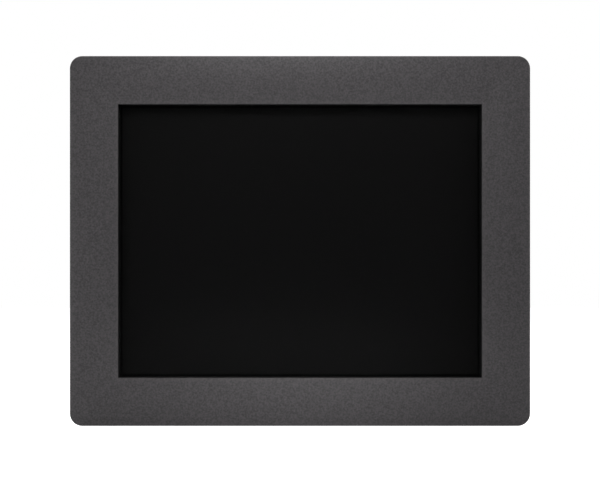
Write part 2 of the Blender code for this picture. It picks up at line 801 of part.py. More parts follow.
def build_heat_sink():
    """The finned heat sink with four threaded bosses, and the spreader from the processor to it."""
    front = BOX_REAR + SHEET + 2 * GAP
    base_rear = front + SINK_BASE
    tips = base_rear + FIN_HEIGHT
    sink = add_part(
        "heat_sink", centred_plate((SINK_WIDTH, SINK_HEIGHT), front, base_rear), "aluminium"
    )
    half = SINK_HEIGHT / 2
    fins = []
    for i in range(FIN_COUNT):
        x = (i - (FIN_COUNT - 1) / 2) * FIN_PITCH
        fins.append(
            box((x - FIN_THICKNESS / 2, base_rear - 1.0, -half), (x + FIN_THICKNESS / 2, tips, half))
        )
    join(sink, gathered(fins))
    spots = [(i * VESA_SPACING / 2, j * VESA_SPACING / 2) for i in (-1, 1) for j in (-1, 1)]
    edge = VESA_BOSS / 2
    top = tips + VESA_RISE
    foot = base_rear - 2
    join(sink, gathered(box((x - edge, foot, z - edge), (x + edge, top, z + edge)) for x, z in spots))
    bottom = top - VESA_THREAD_DEPTH
    cut(sink, gathered(cylinder((x, bottom, z), (x, top + 1, z), VESA_THREAD_RADIUS) for x, z in spots))
    x, z = PROCESSOR
    side = SPREADER_SIDE / 2
    deck = BOARD_FRONT + BOARD_THICKNESS
    spreader = box((x - side, deck + 2.7, z - side), (x + side, front - GAP, z + side))
    add_part("heat_spreader", spreader, "aluminium")


# Boards


def build_main_board():
    """The main board with its processor, memory socket, coils and capacitors."""
    deck = BOARD_FRONT + BOARD_THICKNESS
    low = (BOARD_LEFT, BOARD_FRONT, BOARD_BOTTOM)
    high = (BOARD_LEFT + BOARD_SIDE, deck, BOARD_BOTTOM + BOARD_SIDE)
    board = add_part("main_board", box(low, high), "circuit_board")
    sunk = deck - 0.4
    x, z = PROCESSOR
    half = PROCESSOR_SIDE / 2
    parts = [
        box((x - half, sunk, z - half), (x + half, deck + 2.4, z + half)),
        box((92.0, sunk, -12.0), (100.0, deck + 6.0, 63.0)),
        box((-20.0, sunk, 10.0), (2.0, deck + 2.2, 32.0)),
    ]
    for i in range(4):
        parts.append(box((28.0 + 11 * i, sunk, 44.0), (36.0 + 11 * i, deck + 4.0, 52.0)))
        parts.append(cylinder((32.0 + 11 * i, sunk, 60.0), (32.0 + 11 * i, deck + 8.0, 60.0), 3.2, 12))
    join(board, gathered(parts))
    holes = [cylinder((i, low[1] - 1, j), (i, deck + 1, j), SCREW_HOLE, 12) for i, j in pillar_places()]
    cut(board, gathered(holes))
    module = box((100.3, deck + 3.4, -8.0), (130.3, deck + 4.6, 59.6))
    memory = add_part("memory_module", module, "circuit_board")
    chips = [
        box((108.0, deck + 4.3, -4.0 + 16 * i), (122.0, deck + 5.8, 6.0 + 16 * i)) for i in range(4)
    ]
    join(memory, gathered(chips))
    cell = cylinder((4.0, deck + GAP, 60.0), (4.0, deck + GAP + 3.2, 60.0), 10.0, 24)
    add_part("backup_battery", cell, "stamped_steel")


def build_small_boards():
    """The touch controller, the backlight driver and the button board."""
    front = LCD_REAR + 0.5
    rear = front + BOARD_THICKNESS
    low, high = SMALL_BOARD_Z
    controller = box((-30.0, front, low), (30.0, rear, high))
    touch = add_part("touch_controller_board", controller, "circuit_board")
    chip = box((-8.0, rear - 0.4, 103.0), (4.0, rear + 1.2, 115.0))
    plug = box((14.0, rear - 0.4, 106.0), (26.0, rear + 2.5, 112.0))
    join(touch, gathered([chip, plug]))
    backlight_board = box((60.0, front, low), (150.0, rear, high))
    driver = add_part("backlight_driver_board", backlight_board, "circuit_board")
    coils = [box((68.0 + 20 * i, rear - 0.4, 104.0), (80.0 + 20 * i, rear + 3.2, 116.0)) for i in range(4)]
    join(driver, gathered(coils))
    inner = -BOX_WIDTH / 2 + 8.6
    half = BUTTON_BOARD_HALF
    low = (inner, SWITCH_Y - 10.0, BUTTON_Z - half)
    switch_board = box(low, (inner + BOARD_THICKNESS, SWITCH_Y + 10.0, BUTTON_Z + half))
    board = add_part("button_board", switch_board, "circuit_board")
    join(board, box((inner - 2.0, SWITCH_Y - 3, BUTTON_Z - 3), (inner + 0.4, SWITCH_Y + 3, BUTTON_Z + 3)))


# Connectors


def wall_block(size, x):
    """The body of a connector in the bottom wall: low and high corners."""
    deck = BOARD_FRONT + BOARD_THICKNESS + GAP
    face = -BOX_HEIGHT / 2 - PORT_PROUD
    width, height, depth = size
    return (x - width / 2, deck, face), (x + width / 2, deck + height, face + depth)


def socket_box(low, high, socket, lift):
    """A socket that opens downwards in a connector's body, its bottom edge lifted off the board."""
    middle = (low[0] + high[0]) / 2
    width, height, depth = socket
    return box(
        (middle - width / 2, low[1] + lift, low[2] - 1.0),
        (middle + width / 2, low[1] + lift + height, low[2] + depth),
    )


def build_ports():
    """The connectors along the bottom wall."""
    for name in ("lan_port_1", "lan_port_2"):
        low, high = wall_block(LAN_SIZE, PORT_PLACES[name])
        port = add_part(name, box(low, high), "zinc_steel")
        cut(port, socket_box(low, high, LAN_SOCKET, 2.4))
    low, high = wall_block(INLET_SIZE, PORT_PLACES["power_inlet"])
    inlet = add_part("power_inlet", box(low, high), "black_plastic")
    cut(inlet, socket_box(low, high, INLET_SOCKET, 1.2))
    low, high = wall_block(VIDEO_SIZE, PORT_PLACES["video_port"])
    video = add_part("video_port", box(low, high), "zinc_steel")
    cut(video, socket_box(low, high, VIDEO_SOCKET, 1.2))
    middle = (low[1] + high[1]) / 2
    x = PORT_PLACES["video_port"]
    half = VIDEO_TONGUE / 2
    join(video, box((x - 6, middle - half, low[2] + 1), (x + 6, middle + half, low[2] + 9)))
    build_usb("usb_ports_bottom", (PORT_PLACES["usb_ports_bottom"], -BOX_HEIGHT / 2), 0.0)
    build_usb("usb_ports_side", (BOX_WIDTH / 2, USB_SIDE_Z), -90.0)
    build_serial_port()


def build_usb(name, wall, turn):
    """Two stacked sockets in one shell, built opening downwards in a frame that is turned to the wall."""
    frame = bpy.data.objects.new(f"{name}_frame", None)
    deck = BOARD_FRONT + BOARD_THICKNESS + GAP
    frame.location = Vector((wall[0], deck, wall[1])) * MM
    frame.rotation_euler = (0.0, math.radians(turn), 0.0)
    PARTS.objects.link(frame)
    width, height, depth = USB_SIZE
    low = (-width / 2, 0.0, -PORT_PROUD)
    high = (width / 2, height, depth - PORT_PROUD)
    shell = add_part(name, box(low, high), "zinc_steel", parent=frame)
    lifts = (1.3, 1.3 + USB_RISE)
    cut(shell, gathered(socket_box(low, high, USB_SOCKET, lift) for lift in lifts))
    tongues = []
    for lift in lifts:
        bottom = lift + 0.9
        tongues.append(box((-5.5, bottom, low[2] + 1.2), (5.5, bottom + 1.9, low[2] + USB_SOCKET[2] + 1)))
    join(shell, gathered(tongues))


def build_serial_port():
    """The nine-pin connector: flange inside the wall, shell and jack posts through it."""
    x = PORT_PLACES["serial_port"]
    deck = BOARD_FRONT + BOARD_THICKNESS + GAP
    middle = deck + SERIAL_FLANGE[1] / 2
    inside = -BOX_HEIGHT / 2 + SHEET + GAP
    half = SERIAL_FLANGE[0] / 2
    flange = box((x - half, deck, inside), (x + half, deck + SERIAL_FLANGE[1], inside + 1.0))
    port = add_part("serial_port", flange, "zinc_steel")
    tip = -BOX_HEIGHT / 2 - SERIAL_SHELL_LENGTH
    half_x = SERIAL_SHELL[0] / 2
    half_y = SERIAL_SHELL[1] / 2
    rear = inside + 9.0
    shell = rounded_box((x - half_x, middle - half_y, tip), (x + half_x, middle + half_y, rear), Z, 2.0, 3)
    posts = [
        cylinder((x + s * SERIAL_JACK_X, middle, tip), (x + s * SERIAL_JACK_X, middle, inside + 0.5), 1.6, 12)
        for s in (-1, 1)
    ]
    join(port, gathered([shell, *posts]))
    nuts = [
        cylinder(
            (x + s * SERIAL_JACK_X, middle, tip - 0.4),
            (x + s * SERIAL_JACK_X, middle, -BOX_HEIGHT / 2 - GAP),
            2.7,
            6,
        )
        for s in (-1, 1)
    ]
    join(port, gathered(nuts))
    wall = 0.6
    hollow = rounded_box(
        (x - half_x + wall, middle - half_y + wall, tip - 1.0),
        (x + half_x - wall, middle + half_y - wall, tip + 5.0),
        Z,
        1.5,
        3,
    )
    cut(port, hollow)


# Drive tray


def tray_screw_places():
    """Where the tray's thumbscrews sit, as Z and Y."""
    middle = TRAY_FLOOR_Y - 0.3 + TRAY_FACE[1] / 2 - 1.0
    return [(DRIVE_CENTRE_Z + THUMBSCREW_Z, middle), (DRIVE_CENTRE_Z - THUMBSCREW_Z, middle)]


def build_drive():
    """The cage in the housing, the tray that slides in it, the drive and the two thumbscrews."""
    wall = -BOX_WIDTH / 2
    low_z = DRIVE_CENTRE_Z - TRAY_WIDTH / 2
    high_z = DRIVE_CENTRE_Z + TRAY_WIDTH / 2
    cage_front = PAN_REAR + GAP
    cage_low = (wall + 4.0, cage_front, low_z - 2.4)
    cage_high = (wall + 4.0 + TRAY_DEPTH, TRAY_WALL_TOP + 1.3, high_z + 2.4)
    cage = add_part("drive_cage", box(cage_low, cage_high), "zinc_steel")
    hollow_low = (cage_low[0] - 1.0, cage_front + 1.2, low_z - 1.2)
    hollow_high = (cage_high[0] + 1.0, cage_high[1] + 1.0, high_z + 1.2)
    cut(cage, box(hollow_low, hollow_high))
    face_x = wall - GAP - TRAY_FACE[0]
    middle_y = tray_screw_places()[0][1]
    face_half = TRAY_FACE[2] / 2
    face = rounded_box(
        (face_x, middle_y - TRAY_FACE[1] / 2, DRIVE_CENTRE_Z - face_half),
        (wall - GAP, middle_y + TRAY_FACE[1] / 2, DRIVE_CENTRE_Z + face_half),
        X,
        2.0,
        3,
    )
    tray = add_part("storage_tray", face, "rear_powder_coat", pivot=(wall, middle_y, DRIVE_CENTRE_Z))
    inner_end = wall + TRAY_DEPTH - 2.0
    join(tray, box((wall - 1.0, TRAY_FLOOR_Y, low_z), (inner_end, TRAY_FLOOR_Y + TRAY_SHEET, high_z)))
    walls = [
        box((wall - 1.0, TRAY_FLOOR_Y + 0.4, z), (inner_end, TRAY_WALL_TOP, z + TRAY_SHEET))
        for z in (low_z, high_z - TRAY_SHEET)
    ]
    join(tray, gathered(walls))
    holes = [cylinder((face_x - 1, y, z), (wall + 1, y, z), SCREW_HOLE, 12) for z, y in tray_screw_places()]
    cut(tray, gathered(holes))
    drive_low = (wall + 2.0, TRAY_FLOOR_Y + TRAY_SHEET + GAP, DRIVE_CENTRE_Z - DRIVE_SIZE[2] / 2)
    drive_high = tuple(a + b for a, b in zip(drive_low, DRIVE_SIZE))
    add_part("solid_state_drive", box(drive_low, drive_high), "aluminium")
    for name, (z, y) in zip(("upper", "lower"), tray_screw_places()):
        build_thumbscrew(f"tray_thumbscrew_{name}", (face_x - GAP, y, z))


def build_thumbscrew(name, seat):
    """A knurled captive screw on the tray's face, with its origin where the knob meets the face."""
    profile = screw_profile(THUMB_RADIUS, THUMB_LENGTH, SCREW_RADIUS, 6.2)
    made = turned(name, profile, "zinc_steel", seat, (-1.0, 0.0, 0.0), steps=20)
    top = (seat[0] - THUMB_LENGTH, seat[1], seat[2])
    cross_recess(made, top, X, 5.0, 1.6)


# Switches


def build_rocker():
    """The power switch: a housing snapped into the left wall and the rocker that tilts in it."""
    wall = -BOX_WIDTH / 2
    body_y = ROCKER_BODY[0] / 2
    body_z = ROCKER_BODY[1] / 2
    flange_y = ROCKER_FLANGE[0] / 2
    flange_z = ROCKER_FLANGE[1] / 2
    pivot = (wall - ROCKER_PIVOT_INSET, SWITCH_Y, ROCKER_Z)
    flange = rounded_box(
        (wall - GAP - 1.7, SWITCH_Y - flange_y, ROCKER_Z - flange_z),
        (wall - GAP, SWITCH_Y + flange_y, ROCKER_Z + flange_z),
        X,
        1.0,
        2,
    )
    housing = add_part("rocker_housing", flange, "black_plastic")
    join(
        housing,
        box(
            (wall - 1.0, SWITCH_Y - body_y, ROCKER_Z - body_z),
            (wall + 16.0, SWITCH_Y + body_y, ROCKER_Z + body_z),
        ),
    )
    blades = [
        box((wall + 15.0, SWITCH_Y - 2.4, z - 0.4), (wall + 22.0, SWITCH_Y + 2.4, z + 0.4))
        for z in (ROCKER_Z - 5.0, ROCKER_Z + 5.0)
    ]
    join(housing, gathered(blades))
    cut(
        housing,
        box(
            (wall - 4.0, SWITCH_Y - ROCKER_WIDTH / 2 - GAP, ROCKER_Z - ROCKER_HALF - 0.9),
            (pivot[0] + 5.0, SWITCH_Y + ROCKER_WIDTH / 2 + GAP, ROCKER_Z + ROCKER_HALF + 0.9),
        ),
    )
    cut(
        housing,
        cylinder(
            (pivot[0], SWITCH_Y - body_y - 1, ROCKER_Z), (pivot[0], SWITCH_Y + body_y + 1, ROCKER_Z), 1.1, 12
        ),
    )
    build_rocker_key(pivot)


def build_rocker_key(pivot):
    """The rocker: two faces that meet in a shallow valley, tilted so that its lower half is pressed in."""
    valley = 2.2
    rise = ROCKER_HALF * math.tan(ROCKER_TILT)
    outline = [
        (-ROCKER_HALF, valley + rise),
        (0.0, valley),
        (ROCKER_HALF, valley + rise),
        (ROCKER_HALF, -1.0),
        (-ROCKER_HALF, -1.0),
    ]
    curve = bpy.data.curves.new("rocker_outline", "CURVE")
    curve.dimensions = "2D"
    curve.fill_mode = "BOTH"
    curve.extrude = ROCKER_WIDTH / 2 * MM
    spline = curve.splines.new("POLY")
    spline.points.add(len(outline) - 1)
    for point, (along, height) in zip(spline.points, outline):
        point.co = (along * MM, height * MM, 0.0, 1.0)
    spline.use_cyclic_u = True
    sketch = bpy.data.objects.new("rocker_sketch", curve)
    bpy.context.scene.collection.objects.link(sketch)
    # The sketch's X runs along the rocker (world Z), its Y out of the wall (world -X).
    turn = Matrix(((0.0, -1.0, 0.0), (0.0, 0.0, 1.0), (-1.0, 0.0, 0.0))).to_4x4()
    tilt = Matrix.Rotation(-ROCKER_TILT, 4, "Y")
    graph = bpy.context.evaluated_depsgraph_get()
    shape = bmesh.new()
    shape.from_mesh(bpy.data.meshes.new_from_object(sketch.evaluated_get(graph)))
    bpy.data.objects.remove(sketch)
    bmesh.ops.remove_doubles(shape, verts=shape.verts, dist=0.00001)
    millimetres = Matrix.Diagonal((1 / MM, 1 / MM, 1 / MM, 1.0))
    place = Matrix.Translation(pivot) @ tilt @ turn @ millimetres
    bmesh.ops.transform(shape, matrix=place, verts=shape.verts)
    bmesh.ops.recalc_face_normals(shape, faces=shape.faces)
    rocker = add_part("power_rocker", shape, "black_plastic", pivot=pivot)
    half = ROCKER_BODY[0] / 2 - 0.2
    join(
        rocker,
        cylinder((pivot[0], pivot[1] - half, pivot[2]), (pivot[0], pivot[1] + half, pivot[2]), 0.8, 12),
    )


def build_button():
    """The reset button, held behind the wall by its collar."""
    wall = -BOX_WIDTH / 2
    radius = BUTTON_RADIUS
    profile = [
        (0.0, 1.5),
        (radius - 0.4, 1.5),
        (radius, 1.1),
        (radius, -SHEET - GAP),
        (3.8, -SHEET - GAP),
        (3.8, -SHEET - GAP - 1.0),
        (1.5, -SHEET - GAP - 1.0),
        (1.5, -5.4),
        (0.0, -5.4),
    ]
    turned("reset_button", profile, "black_plastic", (wall, SWITCH_Y, BUTTON_Z), (-1.0, 0.0, 0.0))


def build_ground_screw():
    """The earthing screw in the right wall."""
    wall = BOX_WIDTH / 2
    seat = (wall + GAP, SWITCH_Y, GROUND_SCREW_Z)
    profile = screw_profile(GROUND_HEAD_RADIUS, GROUND_HEAD_HEIGHT, GROUND_SCREW_RADIUS, SCREW_LENGTH)
    made = turned("ground_screw", profile, "zinc_steel", seat, (1.0, 0.0, 0.0))
    cross_recess(made, (seat[0] + GROUND_HEAD_HEIGHT, seat[1], seat[2]), X, 4.6, 1.5)


def main():
    """Clears the scene and builds the computer."""
    for old in list(bpy.data.objects):
        bpy.data.objects.remove(old)
    for collection in (PARTS, CUTTERS):
        bpy.context.scene.collection.children.link(collection)
    for name in FINISHES:
        make_finish(name)
    build_bezel()
    build_glass()
    build_display_module()
    build_display_housing()
    build_clamps()
    build_computer_housing()
    build_rear_cover()
    build_heat_sink()
    build_main_board()
    build_small_boards()
    build_ports()
    build_drive()
    build_rocker()
    build_button()
    build_ground_screw()


main()
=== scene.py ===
"""Looks of a 15-inch panel-mount tablet computer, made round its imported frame.

Sizes in the classes are millimetres along the frame's axes: X to the right, Y into the cabinet, Z up, from
the centre of the panel cut-out. Each finished mesh is written in metres.
"""

import logging
import math
from collections.abc import Iterable, Sequence
from dataclasses import dataclass
from enum import Enum
from functools import cache

import bmesh
import bpy
from mathutils import Matrix, Vector
from mathutils.geometry import tessellate_polygon

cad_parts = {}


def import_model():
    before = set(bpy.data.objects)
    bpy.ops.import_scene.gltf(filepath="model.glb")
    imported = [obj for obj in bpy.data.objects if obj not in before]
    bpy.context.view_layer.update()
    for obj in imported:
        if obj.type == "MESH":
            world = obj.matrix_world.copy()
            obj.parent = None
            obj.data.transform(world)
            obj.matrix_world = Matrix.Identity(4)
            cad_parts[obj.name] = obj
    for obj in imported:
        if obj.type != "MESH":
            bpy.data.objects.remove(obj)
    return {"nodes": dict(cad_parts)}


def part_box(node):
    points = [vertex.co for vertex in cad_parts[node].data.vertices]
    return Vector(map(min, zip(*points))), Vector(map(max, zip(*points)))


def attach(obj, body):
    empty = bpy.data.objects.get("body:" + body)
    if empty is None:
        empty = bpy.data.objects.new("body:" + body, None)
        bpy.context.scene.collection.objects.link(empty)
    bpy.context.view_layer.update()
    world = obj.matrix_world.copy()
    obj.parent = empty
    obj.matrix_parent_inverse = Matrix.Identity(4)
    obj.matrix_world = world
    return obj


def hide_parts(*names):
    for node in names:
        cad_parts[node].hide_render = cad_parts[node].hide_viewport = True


MM = 0.001
LOG = logging.getLogger("panel_tablet")
Point = tuple[float, float]
Triple = tuple[float, float, float]
Loop = list[Point]
Shape = bmesh.types.BMesh
Socket = bpy.types.NodeSocket
NodeTree = bpy.types.NodeTree
Value = float | Socket

# A flat shape is drawn in (U, V) and thickened along W. This stands it in the screen's plane.
UPRIGHT = Matrix(((1, 0, 0, 0), (0, 0, 1, 0), (0, 1, 0, 0), (0, 0, 0, 1)))
# This stands it seen from the side: (U, V) lie along Y and Z, and it's thickened along X.
SIDEWAYS = Matrix(((0, 0, 1, 0), (1, 0, 0, 0), (0, 1, 0, 0), (0, 0, 0, 1)))
# A turned piece is made standing on +Z. These lay it along another way.
TO_REAR = Matrix.Rotation(math.radians(-90), 4, "X")
TO_LEFT = Matrix.Rotation(math.radians(-90), 4, "Y")
TO_RIGHT = Matrix.Rotation(math.radians(90), 4, "Y")
# Depth of a metric thread's ridge as a share of its pitch.
RIDGE = 0.54


def span(node: str) -> tuple[Vector, Vector]:
    """The lowest and highest corners of a CAD node, in millimetres."""
    low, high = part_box(node)
    return low / MM, high / MM


# Nodes


def add_node(
    tree: NodeTree, kind: str, settings: dict | None = None, links: dict | None = None
) -> bpy.types.Node:
    """Adds a node with its settings, and links or sets its inputs.

    Args:
        tree: the tree that the node goes into.
        kind: the node's type name.
        settings: properties of the node.
        links: a socket to link, or a value to set, for each input's name or number.

    Returns:
        The node.
    """
    node = tree.nodes.new(kind)
    for name, value in (settings or {}).items():
        setattr(node, name, value)
    for key, value in (links or {}).items():
        if isinstance(value, Socket):
            tree.links.new(value, node.inputs[key])
        else:
            node.inputs[key].default_value = value
    return node


# Flat outlines


def rounded_rectangle(
    width: float, height: float, radius: float, centre: Point = (0, 0), steps: int = 6
) -> Loop:
    """The corner points of a rounded rectangle, counter-clockwise.

    Args:
        width: its full width.
        height: its full height.
        radius: the corners' radius.
        centre: its middle.
        steps: sides of each corner's arc.

    Returns:
        The loop.
    """
    reach = (width / 2 - radius, height / 2 - radius)
    points = []
    for quarter, (side, end) in enumerate(((1, 1), (-1, 1), (-1, -1), (1, -1))):
        for step in range(steps + 1):
            turn = math.pi / 2 * (quarter + step / steps)
            u = centre[0] + side * reach[0] + radius * math.cos(turn)
            v = centre[1] + end * reach[1] + radius * math.sin(turn)
            points.append((u, v))
    return points


def circle(radius: float, centre: Point = (0, 0), steps: int = 32) -> Loop:
    """Points round a circle, counter-clockwise. Six steps make a hexagon."""
    turns = [math.tau * i / steps for i in range(steps)]
    return [(centre[0] + radius * math.cos(a), centre[1] + radius * math.sin(a)) for a in turns]


def inset_loop(loop: Sequence[Point], amount: float) -> list[Vector]:
    """A loop with each side moved to the left of the way it is walked.

    Args:
        loop: the corners in order.
        amount: how far each side moves.

    Returns:
        The moved corners.
    """
    moved = []
    for i, here in enumerate(loop):
        before = (Vector(here) - Vector(loop[i - 1])).normalized()
        after = (Vector(loop[(i + 1) % len(loop)]) - Vector(here)).normalized()
        left = Vector((-before.y, before.x))
        both = left + Vector((-after.y, after.x))
        moved.append(Vector(here) + both * (amount / max(both.dot(left), 0.4)))
    return moved


def rounded_levels(low: float, high: float, near: float, far: float | None = None) -> list[Point]:
    """The depth and inset of each ring of a plate whose edges are rounded.

    Args:
        low: depth of the first face.
        high: depth of the last face.
        near: edge radius at the first face.
        far: edge radius at the last face, or None for the same.

    Returns:
        (depth, inset) pairs from the first face to the last.
    """
    far = near if far is None else far
    turns = [math.pi / 2 * step / 3 for step in range(4)]
    first = [(low + near * (1 - math.cos(a)), near * (1 - math.sin(a))) for a in turns]
    last = [(high - far * (1 - math.cos(a)), far * (1 - math.sin(a))) for a in reversed(turns)]
    return first + last


# Solid shapes, each a bmesh in millimetres


def plate(loops: Sequence[Loop], levels: Sequence[Point], turn: Matrix = UPRIGHT) -> Shape:
    """A closed plate from flat outlines.

    Args:
        loops: the outer outline and then the holes, each counter-clockwise.
        levels: (depth, inset) pairs from one face to the other.
        turn: how the drawing's plane stands in the frame.

    Returns:
        The plate.
    """
    shape = bmesh.new()
    walks = [list(loops[0])] + [list(reversed(hole)) for hole in loops[1:]]
    rings = []
    for depth, inset in levels:
        ring = [[turn @ Vector((*p, depth)) for p in inset_loop(walk, inset)] for walk in walks]
        rings.append([[shape.verts.new(co) for co in loop] for loop in ring])
    for low, high in zip(rings, rings[1:]):
        for a, b in zip(low, high):
            for i in range(len(a)):
                shape.faces.new((a[i - 1], a[i], b[i], b[i - 1]))
    for ring in (rings[0], rings[-1]):
        if len(ring) == 1:
            shape.faces.new(ring[0])
            continue
        flat = [vert for loop in ring for vert in loop]
        for corners in tessellate_polygon([[vert.co for vert in loop] for loop in ring]):
            shape.faces.new([flat[i] for i in corners])
    bmesh.ops.recalc_face_normals(shape, faces=shape.faces)
    return shape


def block(low: Iterable[float], high: Iterable[float], edge: float = 0.0, steps: int = 2) -> Shape:
    """A box between two corners, its edges rounded.

    Args:
        low: its lowest corner.
        high: its highest corner.
        edge: the edges' radius.
        steps: sides of each rounded edge.

    Returns:
        The box.
    """
    low, high = Vector(low), Vector(high)
    shape = bmesh.new()
    place = Matrix.Translation((low + high) / 2) @ Matrix.Diagonal((*(high - low), 1))
    bmesh.ops.create_cube(shape, size=1, matrix=place)
    if edge:
        bmesh.ops.bevel(shape, geom=shape.edges[:], offset=edge, segments=steps, profile=0.5, affect="EDGES")
    return shape


def lathe(profile: Sequence[Point], steps: int = 40, turn: Matrix | None = None) -> Shape:
    """A turned solid.

    Args:
        profile: (radius, height) pairs from the axis to the axis.
        steps: sides round the axis.
        turn: where the solid is put, or None to leave it standing on the origin.

    Returns:
        The solid.
    """
    shape = bmesh.new()
    rings = []
    for radius, height in profile:
        around = circle(radius, steps=steps) if radius else [(0.0, 0.0)]
        rings.append([shape.verts.new((*point, height)) for point in around])
    for low, high in zip(rings, rings[1:]):
        for i in range(steps):
            before = (low[(i - 1) % len(low)], low[i % len(low)])
            after = (high[i % len(high)], high[(i - 1) % len(high)])
            distinct = list(dict.fromkeys(before + after))
            if len(distinct) > 2:
                shape.faces.new(distinct)
    return moved(shape, turn or Matrix())


def moved(shape: Shape, turn: Matrix) -> Shape:
    """The shape put elsewhere, with its faces outward again."""
    bmesh.ops.transform(shape, matrix=turn, verts=shape.verts)
    bmesh.ops.recalc_face_normals(shape, faces=shape.faces)
    return shape


def gathered(shapes: Iterable[Shape]) -> Shape:
    """Several closed shapes as one.

    Args:
        shapes: the shapes, which are used up.

    Returns:
        The one shape.
    """
    whole = bmesh.new()
    for shape in shapes:
        scratch = bpy.data.meshes.new("scratch")
        shape.to_mesh(scratch)
        shape.free()
        whole.from_mesh(scratch)
        bpy.data.meshes.remove(scratch)
    return whole


def points(places: Iterable[Iterable[float]]) -> Shape:
    """Loose points for a tree to set pieces on.

    Args:
        places: where the points are.

    Returns:
        The points.
    """
    shape = bmesh.new()
    for place in places:
        shape.verts.new(Vector(place))
    return shape


def pan_head(radius: float, height: float) -> list[Point]:
    """The profile of a pan head from its top down to its seat.

    Args:
        radius: the head's radius.
        height: the head's height.

    Returns:
        (radius, height) pairs.
    """
    crown = 0.16 * height
    return [
        (0.0, height),
        (0.45 * radius, height - 0.2 * crown),
        (0.72 * radius, height - crown),
        (0.9 * radius, height - 2.4 * crown),
        (radius, height - 4.2 * crown),
        (radius, 0.05 * height),
        (0.97 * radius, 0.0),
    ]


def cross_bars(top: float, across: float, depth: float) -> list[Shape]:
    """The two tapered bars of a screwdriver's tip. They're cut into a head one after the other.

    Args:
        top: height of the head's top.
        across: width of the recess.
        depth: depth of the recess.

    Returns:
        The bars.
    """
    bars = []
    for turn in (0, 90):
        wide, thin = across / 2, across / 8
        levels = [(top - depth, 0.5 * thin), (top + 1.0, -0.3 * thin)]
        bar = rounded_rectangle(2 * wide, 2 * thin, 0.7 * thin, steps=2)
        bars.append(plate([bar], levels, Matrix.Rotation(math.radians(turn), 4, "Z")))
    return bars


def rounded_polygon(corners: Sequence[Point], radius: float, steps: int = 4) -> Loop:
    """A polygon with every corner rounded, walked counter-clockwise.

    Args:
        corners: its corners, counter-clockwise.
        radius: the corners' radius.
        steps: sides of each corner's arc.

    Returns:
        The loop.
    """
    loop = []
    for i, corner in enumerate(corners):
        here = Vector(corner)
        before = (Vector(corners[i - 1]) - here).normalized()
        after = (Vector(corners[(i + 1) % len(corners)]) - here).normalized()
        half = before.angle(after) / 2
        middle = here + (before + after).normalized() * (radius / math.sin(half))
        start, end = (here + way * (radius / math.tan(half)) - middle for way in (before, after))
        for step in range(steps + 1):
            way = start.lerp(end, step / steps).normalized()
            loop.append(tuple(middle + way * radius))
    return loop


def hole(place: Iterable[float], radius: float, way: Matrix, reach: float = 4.0, steps: int = 24) -> Shape:
    """A cylinder for drilling through a wall at a place, reach to both sides."""
    drill = [(radius, -reach), (radius, reach)]
    return lathe([(0.0, -reach), *drill, (0.0, reach)], steps, Matrix.Translation(Vector(place)) @ way)


# Finishes


def srgb(code: str) -> tuple[float, float, float, float]:
    """A linear colour from an sRGB hex value such as 4a4a4c."""
    parts = [int(code[i : i + 2], 16) / 255 for i in (0, 2, 4)]
    return (*(c / 12.92 if c <= 0.04045 else ((c + 0.055) / 1.055) ** 2.4 for c in parts), 1.0)


